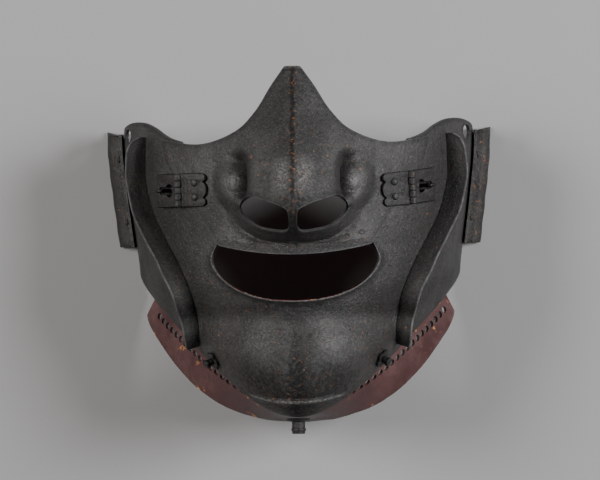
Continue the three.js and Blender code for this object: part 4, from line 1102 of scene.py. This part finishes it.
# A strip of zigzag section down the rear edge, with two rivets
def makeWing(side, name):
    drop, thick, gap = wing["lip"] * math.sqrt(0.5), wing["thick"], face["gap"]
    panelZ = drop + thick
    skew = thick * math.sqrt(0.5)
    outer = [
        (gap + thick, panelZ + wing["leg"]), (gap + thick, panelZ), (gap + wing["panel"], panelZ),
        (gap + wing["panel"] + drop, panelZ - drop),
    ]
    inner = [
        (gap + wing["panel"] + drop - skew, panelZ - drop - skew + 0.5 * thick),
        (gap + wing["panel"] - 0.41 * thick, panelZ - thick), (gap, panelZ - thick),
        (gap, panelZ + wing["leg"]),
    ]
    section = subdivided(outer + inner, 1.2)
    widest = section[:, 0].max()
    rings = []
    heights = np.linspace(wing["top"], wing["bottom"], 60)
    for i, y in enumerate(heights):
        lift = ramp(0.45, 1, section[:, 0] / widest) * wing["spur"] * max(0, 1 - i / 1.5)
        wave = 0.12 * (np.sin(y * 0.5 + side) - 1) * ramp(0.55, 1, section[:, 0] / widest)
        x = side * (sideAt(y) + section[:, 0] + wave)
        rings.append(np.stack([x, y + lift, section[:, 1]], 1))
    points, faces = loft(rings)
    faces = outward(points, faces)
    first = np.minimum(wing["top"] + 0.3 - points[:, 1], points[:, 1] - wing["bottom"] + 0.3)
    fromEdge = np.minimum(widest - section[:, 0], panelZ + wing["leg"] - section[:, 1])
    edgeAcross = np.tile(fromEdge, len(heights))
    rusty = 0.35 + 0.6 * (side > 0) * np.ones(len(points))
    marks = {"edge": np.maximum(np.minimum(first, edgeAcross), 0.05), "rusty": rusty}
    piece = newPiece(f"wingStrip_{name}", points, faces, [russetIron], None, 30, marks)
    standFor(piece, f"wing_strip_{name}")
    for i, share in enumerate((0.25, 0.06)):
        y = share * face["tall"]
        x = sideAt(y) + 2 * gap + thick + 0.3
        body = rivetBody(0.3)
        axes = [(0, 0, -side), (0, 1, 0), (side, 0, 0)]
        points, faces = placed(body, axes, (side * x, y, panelZ + 0.55 * wing["leg"]))
        faces = outward(points, faces)
        tones = evenMarks(points, 0.4)
        head = newPiece(f"wingRivet_{name}_{i + 1}", points, faces, [fittingIron], None, 50, tones)
        standFor(head, f"wing_rivet_{name}_{i + 1}")


rivetSize = {"radius": 1.7, "rise": 1.1, "shank": 0.8}


def rivetBody(shankLong):
    radius, rise, shank = rivetSize["radius"], rivetSize["rise"], rivetSize["shank"]
    profile = [(0.02, -shankLong), (shank, -shankLong), (shank, 0), (radius * 0.97, 0)]
    for a in np.linspace(0, math.pi / 2, 8)[:-1]:
        profile.append((radius * math.cos(a), 0.05 + (rise - 0.05) * math.sin(a)))
    profile.append((0.02, rise))
    return turnedBody(profile, 24)


for side, name in ((-1, "left"), (1, "right")):
    makeGuard(side, name)
    makeWing(side, name)


print("hinges")
hinge = {
    "x": 0.605, "y": 0.147, "leafLong": 17, "leafTall": 14.5, "leafThick": 1.2, "knuckle": 1.9, "pin": 0.75,
    "clear": 0.3, "keyholeRadius": 3, "keyholeAt": 7.2, "slotEnd": 15.4, "slotHalf": 1.7,
    "leafTop": -0.1, "stand": 0.9, "tilt": math.radians(6), "rightTilt": math.radians(5),
    "hookWide": 2, "hookThick": 1.8, "hookReach": 5, "hookStand": 2.4, "notch": 0.42, "notchStep": 1.25,
}
leafBottom = hinge["leafTop"] - hinge["leafThick"]


# Out, along the pin and off the face, at the pin's middle
def hingeAxes(side, tilt):
    place, turn = findOnFace(side * hinge["x"] * face["wide"], hinge["y"] * face["tall"])
    point, normal, _ = faceFrame(place, turn)
    upward = np.array([0, 1.0, 0])
    pinLine = unit(upward - normal * (upward @ normal)) * side
    angle = side * tilt
    pinLine = pinLine * math.cos(angle) + np.cross(normal, pinLine) * math.sin(angle)
    out = unit(np.cross(pinLine, normal))
    at = point + normal * (noseLift + hinge["stand"] - leafBottom)
    return np.array([out, pinLine, normal]), at


def notchedLine(a, b):
    a, b = np.asarray(a, float), np.asarray(b, float)
    along = (b - a) / np.linalg.norm(b - a)
    inward = np.array([along[1], -along[0]])
    count = int(np.linalg.norm(b - a) / hinge["notchStep"])
    out = [a]
    for k in range(count):
        middle = a + (b - a) * (k + 0.5) / count
        out += [middle - along * 0.22, middle + inward * hinge["notch"], middle + along * 0.22]
    return out


# A leaf with the knuckles that are wanted of five
def leafBody(outline, holes, wanted, direction):
    thick = hinge["leafThick"]
    plate = plateBody(outline, holes, thick, 0.1)
    plate = (plate[0] + (0, 0, leafBottom + thick / 2), plate[1])
    plate = turnedAboutY(plate, direction * hinge["tilt"])
    span = hinge["leafTall"] / 5
    bodies = [plate]
    for i in wanted:
        low = -hinge["leafTall"] / 2 + i * span + (hinge["clear"] / 2 if i > 0 else 0)
        high = -hinge["leafTall"] / 2 + (i + 1) * span - (hinge["clear"] / 2 if i < 4 else 0)
        bodies.append(rodAlong(hinge["knuckle"], low, high))
    return join(*bodies)


def tabbedEdge(wanted, sign):
    span = hinge["leafTall"] / 5
    out = []
    for i in range(5):
        low = -hinge["leafTall"] / 2 + i * span
        reach = 0.6 * hinge["knuckle"] if i in wanted else -(hinge["knuckle"] + hinge["clear"])
        edge = sign * reach
        trim = hinge["clear"] / 2 if i in wanted else -hinge["clear"] / 2
        out += [(edge, low + trim if i > 0 else low), (edge, low + span - trim if i < 4 else low + span)]
    return out


def circle(x, y, radius, count=28):
    around = np.linspace(0, 2 * math.pi, count, endpoint=False)
    return [(x + radius * math.cos(a), y + radius * math.sin(a)) for a in around]


def makeHinge(side, name, tilt):
    axes, at = hingeAxes(side, tilt)
    half, long = hinge["leafTall"] / 2, hinge["leafLong"]
    notch = 0.12 * long
    shares = [(1, 1), (0.3, 0.85), (0.35, 0.62), (1, 0.5), (0.25, 0.3), (0, 0)]
    cusps = [(-long + a * notch, b * half) for a, b in shares]
    cusps += [(x, -y) for x, y in cusps[-2::-1]]
    root = tabbedEdge((0, 2, 4), 1)
    outline = root + notchedLine(root[-1], cusps[0]) + cusps + notchedLine(cusps[-1], root[0])
    rivetAt, spread = 0.6 * long, 0.225 * hinge["leafTall"]
    holes = [circle(-rivetAt, s * spread, 1.1) for s in (1, -1)]
    points, faces = placed(leafBody(outline[1:], holes, (0, 2, 4), -1), axes, at)
    tones = evenMarks(points, 1.2)
    fixed = newPiece(f"fixedLeaf_{name}", points, faces, [fittingIron], None, 30, tones)
    standFor(fixed, f"hinge_leaf_{name}")

    root = tabbedEdge((1, 3), -1)
    tip = [(long, -half), (long, half)]
    outline = root[::-1] + notchedLine(root[0], tip[0])[1:] + tip + notchedLine(tip[1], root[-1])[1:]
    reach = math.asin(hinge["slotHalf"] / hinge["keyholeRadius"])
    around = np.linspace(reach, 2 * math.pi - reach, 30)
    radius, end, slot = hinge["keyholeRadius"], hinge["slotEnd"], hinge["slotHalf"]
    key = [(hinge["keyholeAt"] + radius * math.cos(a), radius * math.sin(a)) for a in around]
    key += [(end - 1.2, -slot), (end - 0.3, -0.8), (end - 0.3, 0.8), (end - 1.2, slot)]
    points, faces = placed(leafBody(outline, [key], (1, 3), 1), axes, at)
    tones = evenMarks(points, 1.2, 0.35)
    swinging = newPiece(f"keyholeLeaf_{name}", points, faces, [fittingIron], None, 30, tones)
    standFor(swinging, f"keyhole_leaf_{name}", f"leaf_{name}")

    points, faces = placed(rodAlong(hinge["pin"], -half - 0.3, half + 0.3, sides=16), axes, at)
    faces = outward(points, faces)
    tones = evenMarks(points, 0.5)
    pin = newPiece(f"hingePin_{name}", points, faces, [fittingIron], None, 40, tones)
    standFor(pin, f"hinge_pin_{name}")

    for i, s in enumerate((1, -1)):
        head = rivetBody(hinge["leafThick"])
        head = (head[0] + (-rivetAt, s * spread, hinge["leafTop"] + 0.25), head[1])
        points, faces = placed(turnedAboutY(head, -hinge["tilt"]), axes, at)
        faces = outward(points, faces)
        tones = evenMarks(points, 0.35)
        piece = newPiece(f"hingeRivet_{name}_{i + 1}", points, faces, [fittingIron], None, 50, tones)
        standFor(piece, f"hinge_rivet_{name}_{i + 1}")

    foot = hinge["keyholeAt"] + 0.6 * hinge["keyholeRadius"]
    seat = 0.0
    for _ in range(6):
        guess = np.array([foot, 0, seat]) @ axes + at
        place, turn = findOnFace(guess[0], guess[1])
        point, normal, _ = faceFrame(place, turn)
        seat = float((point + normal * face["gap"] - at) @ axes[2])
    top = hinge["leafTop"] + hinge["hookStand"]
    wide, thick = hinge["hookWide"], hinge["hookThick"]
    line = splinePoints([
        (foot + wide / 2, seat + 0.1), (foot + wide / 2, (seat + top) / 2), (foot + 0.62 * wide, top - 0.95),
        (foot + 1.1 * wide, top - 0.45), (foot + 0.75 * hinge["hookReach"], top - 0.55),
        (foot + hinge["hookReach"], top - 0.8),
    ], 30)
    widths = np.interp(np.linspace(0, 1, 30), [0, 0.5, 0.8, 1], [0.9, 0.85, 0.72, 0.35])
    directions = unit(np.gradient(line, axis=0))
    rings = []
    for (x, z), (dx, dz), w in zip(line, directions, widths):
        ring = []
        for a in np.linspace(0, 2 * math.pi, 16, endpoint=False):
            across = w * math.cos(a)
            ring.append((x - dz * across, thick / 2 * min(w / 0.85, 1) * math.sin(a), z + dx * across))
        rings.append(ring)
    points, faces = placed(loft(rings), axes, at)
    faces = outward(points, faces)
    tones = evenMarks(points, 0.6, 0.2)
    piece = newPiece(f"hook_{name}", points, faces, [brightIron], None, 50, tones)
    standFor(piece, f"hook_{name}")


makeHinge(-1, "left", 0.0)
makeHinge(1, "right", hinge["rightTilt"])


print("studs and sweat tube")
stud = {"x": 0.455, "y": -0.342, "washer": 4.6, "washerThick": 1, "radius": 2.2, "tall": 4.4}
tube = {"radius": 3, "bore": 1.9, "long": 7.6, "collar": 5.5, "collarThick": 1}


def turnTo(normal):
    z = np.asarray(normal, float)
    turn = Vector((0, 0, 1)).rotation_difference(Vector(z)).to_matrix()
    return np.array([turn.col[0][:], turn.col[1][:], turn.col[2][:]])


def makeStud(side, name):
    place, turn = findOnFace(side * stud["x"] * face["wide"], stud["y"] * face["tall"])
    point, normal, _ = faceFrame(place, turn)
    axes, at = turnTo(normal), point + normal * (face["gap"] + 0.15)
    outline = []
    for a in np.linspace(0, 2 * math.pi, 72, endpoint=False):
        r = stud["washer"] * (0.74 + 0.26 * abs(math.cos(2.5 * a)) ** 0.7)
        outline.append((r * math.cos(a), r * math.sin(a)))
    neck = 0.55 * stud["radius"]
    body = plateBody(outline, [circle(0, 0, neck + 0.3)], stud["washerThick"], 0.15)
    points, faces = placed((body[0] + (0, 0, stud["washerThick"] / 2), body[1]), axes, at)
    faces, tones = outward(points, faces), evenMarks(points, 0.9, 0.25)
    piece = newPiece(f"chinWasher_{name}", points, faces, [fittingIron], None, 30, tones)
    standFor(piece, f"chin_washer_{name}")
    r, base = stud["radius"], stud["washerThick"] + face["gap"]
    profile = [
        (0.02, 0.05), (neck, 0.05), (neck, base), (0.78 * r, base + 0.1), (0.8 * r, 0.55 * stud["tall"]),
        (0.84 * r, 0.7 * stud["tall"]), (0.98 * r, 0.8 * stud["tall"]), (r, 0.88 * stud["tall"]),
        (0.95 * r, 0.96 * stud["tall"]), (0.85 * r, stud["tall"]), (0.02, stud["tall"]),
    ]
    points, faces = placed(turnedBody(profile, 32), axes, at)
    faces, tones = outward(points, faces), evenMarks(points, 0.8, 0.2)
    piece = newPiece(f"chinStud_{name}", points, faces, [fittingIron], None, 40, tones)
    standFor(piece, f"chin_stud_{name}")


def makeTube():
    point, normal, _ = faceFrame(float(rowOf("drain")), 0.0)
    r, bore, long, start = tube["radius"], tube["bore"], tube["long"], face["gap"] + 0.35
    profile = [
        (bore, start), (tube["collar"] - 0.2, start), (tube["collar"], start + 0.3),
        (tube["collar"] - 0.3, start + tube["collarThick"]), (r + 0.3, start + tube["collarThick"] + 0.05),
        (r, start + tube["collarThick"] + 0.4), (r, 0.66 * long), (1.1 * r, 0.69 * long),
        (1.12 * r, 0.72 * long), (1.12 * r, 0.79 * long), (1.1 * r, 0.82 * long), (r, 0.86 * long),
        (0.98 * r, 0.97 * long), (0.93 * r, long), (bore + 0.1, long), (bore, long - 0.15),
    ]
    points, faces = placed(turnedBody(profile, 48, hollow=True), turnTo(normal), point)
    faces, tones = outward(points, faces), evenMarks(points, 0.9, 0.25)
    piece = newPiece("sweatTube", points, faces, [fittingIron], None, 30, tones)
    standFor(piece, "sweat_tube")


for side, name in ((-1, "left"), (1, "right")):
    makeStud(side, name)
makeTube()
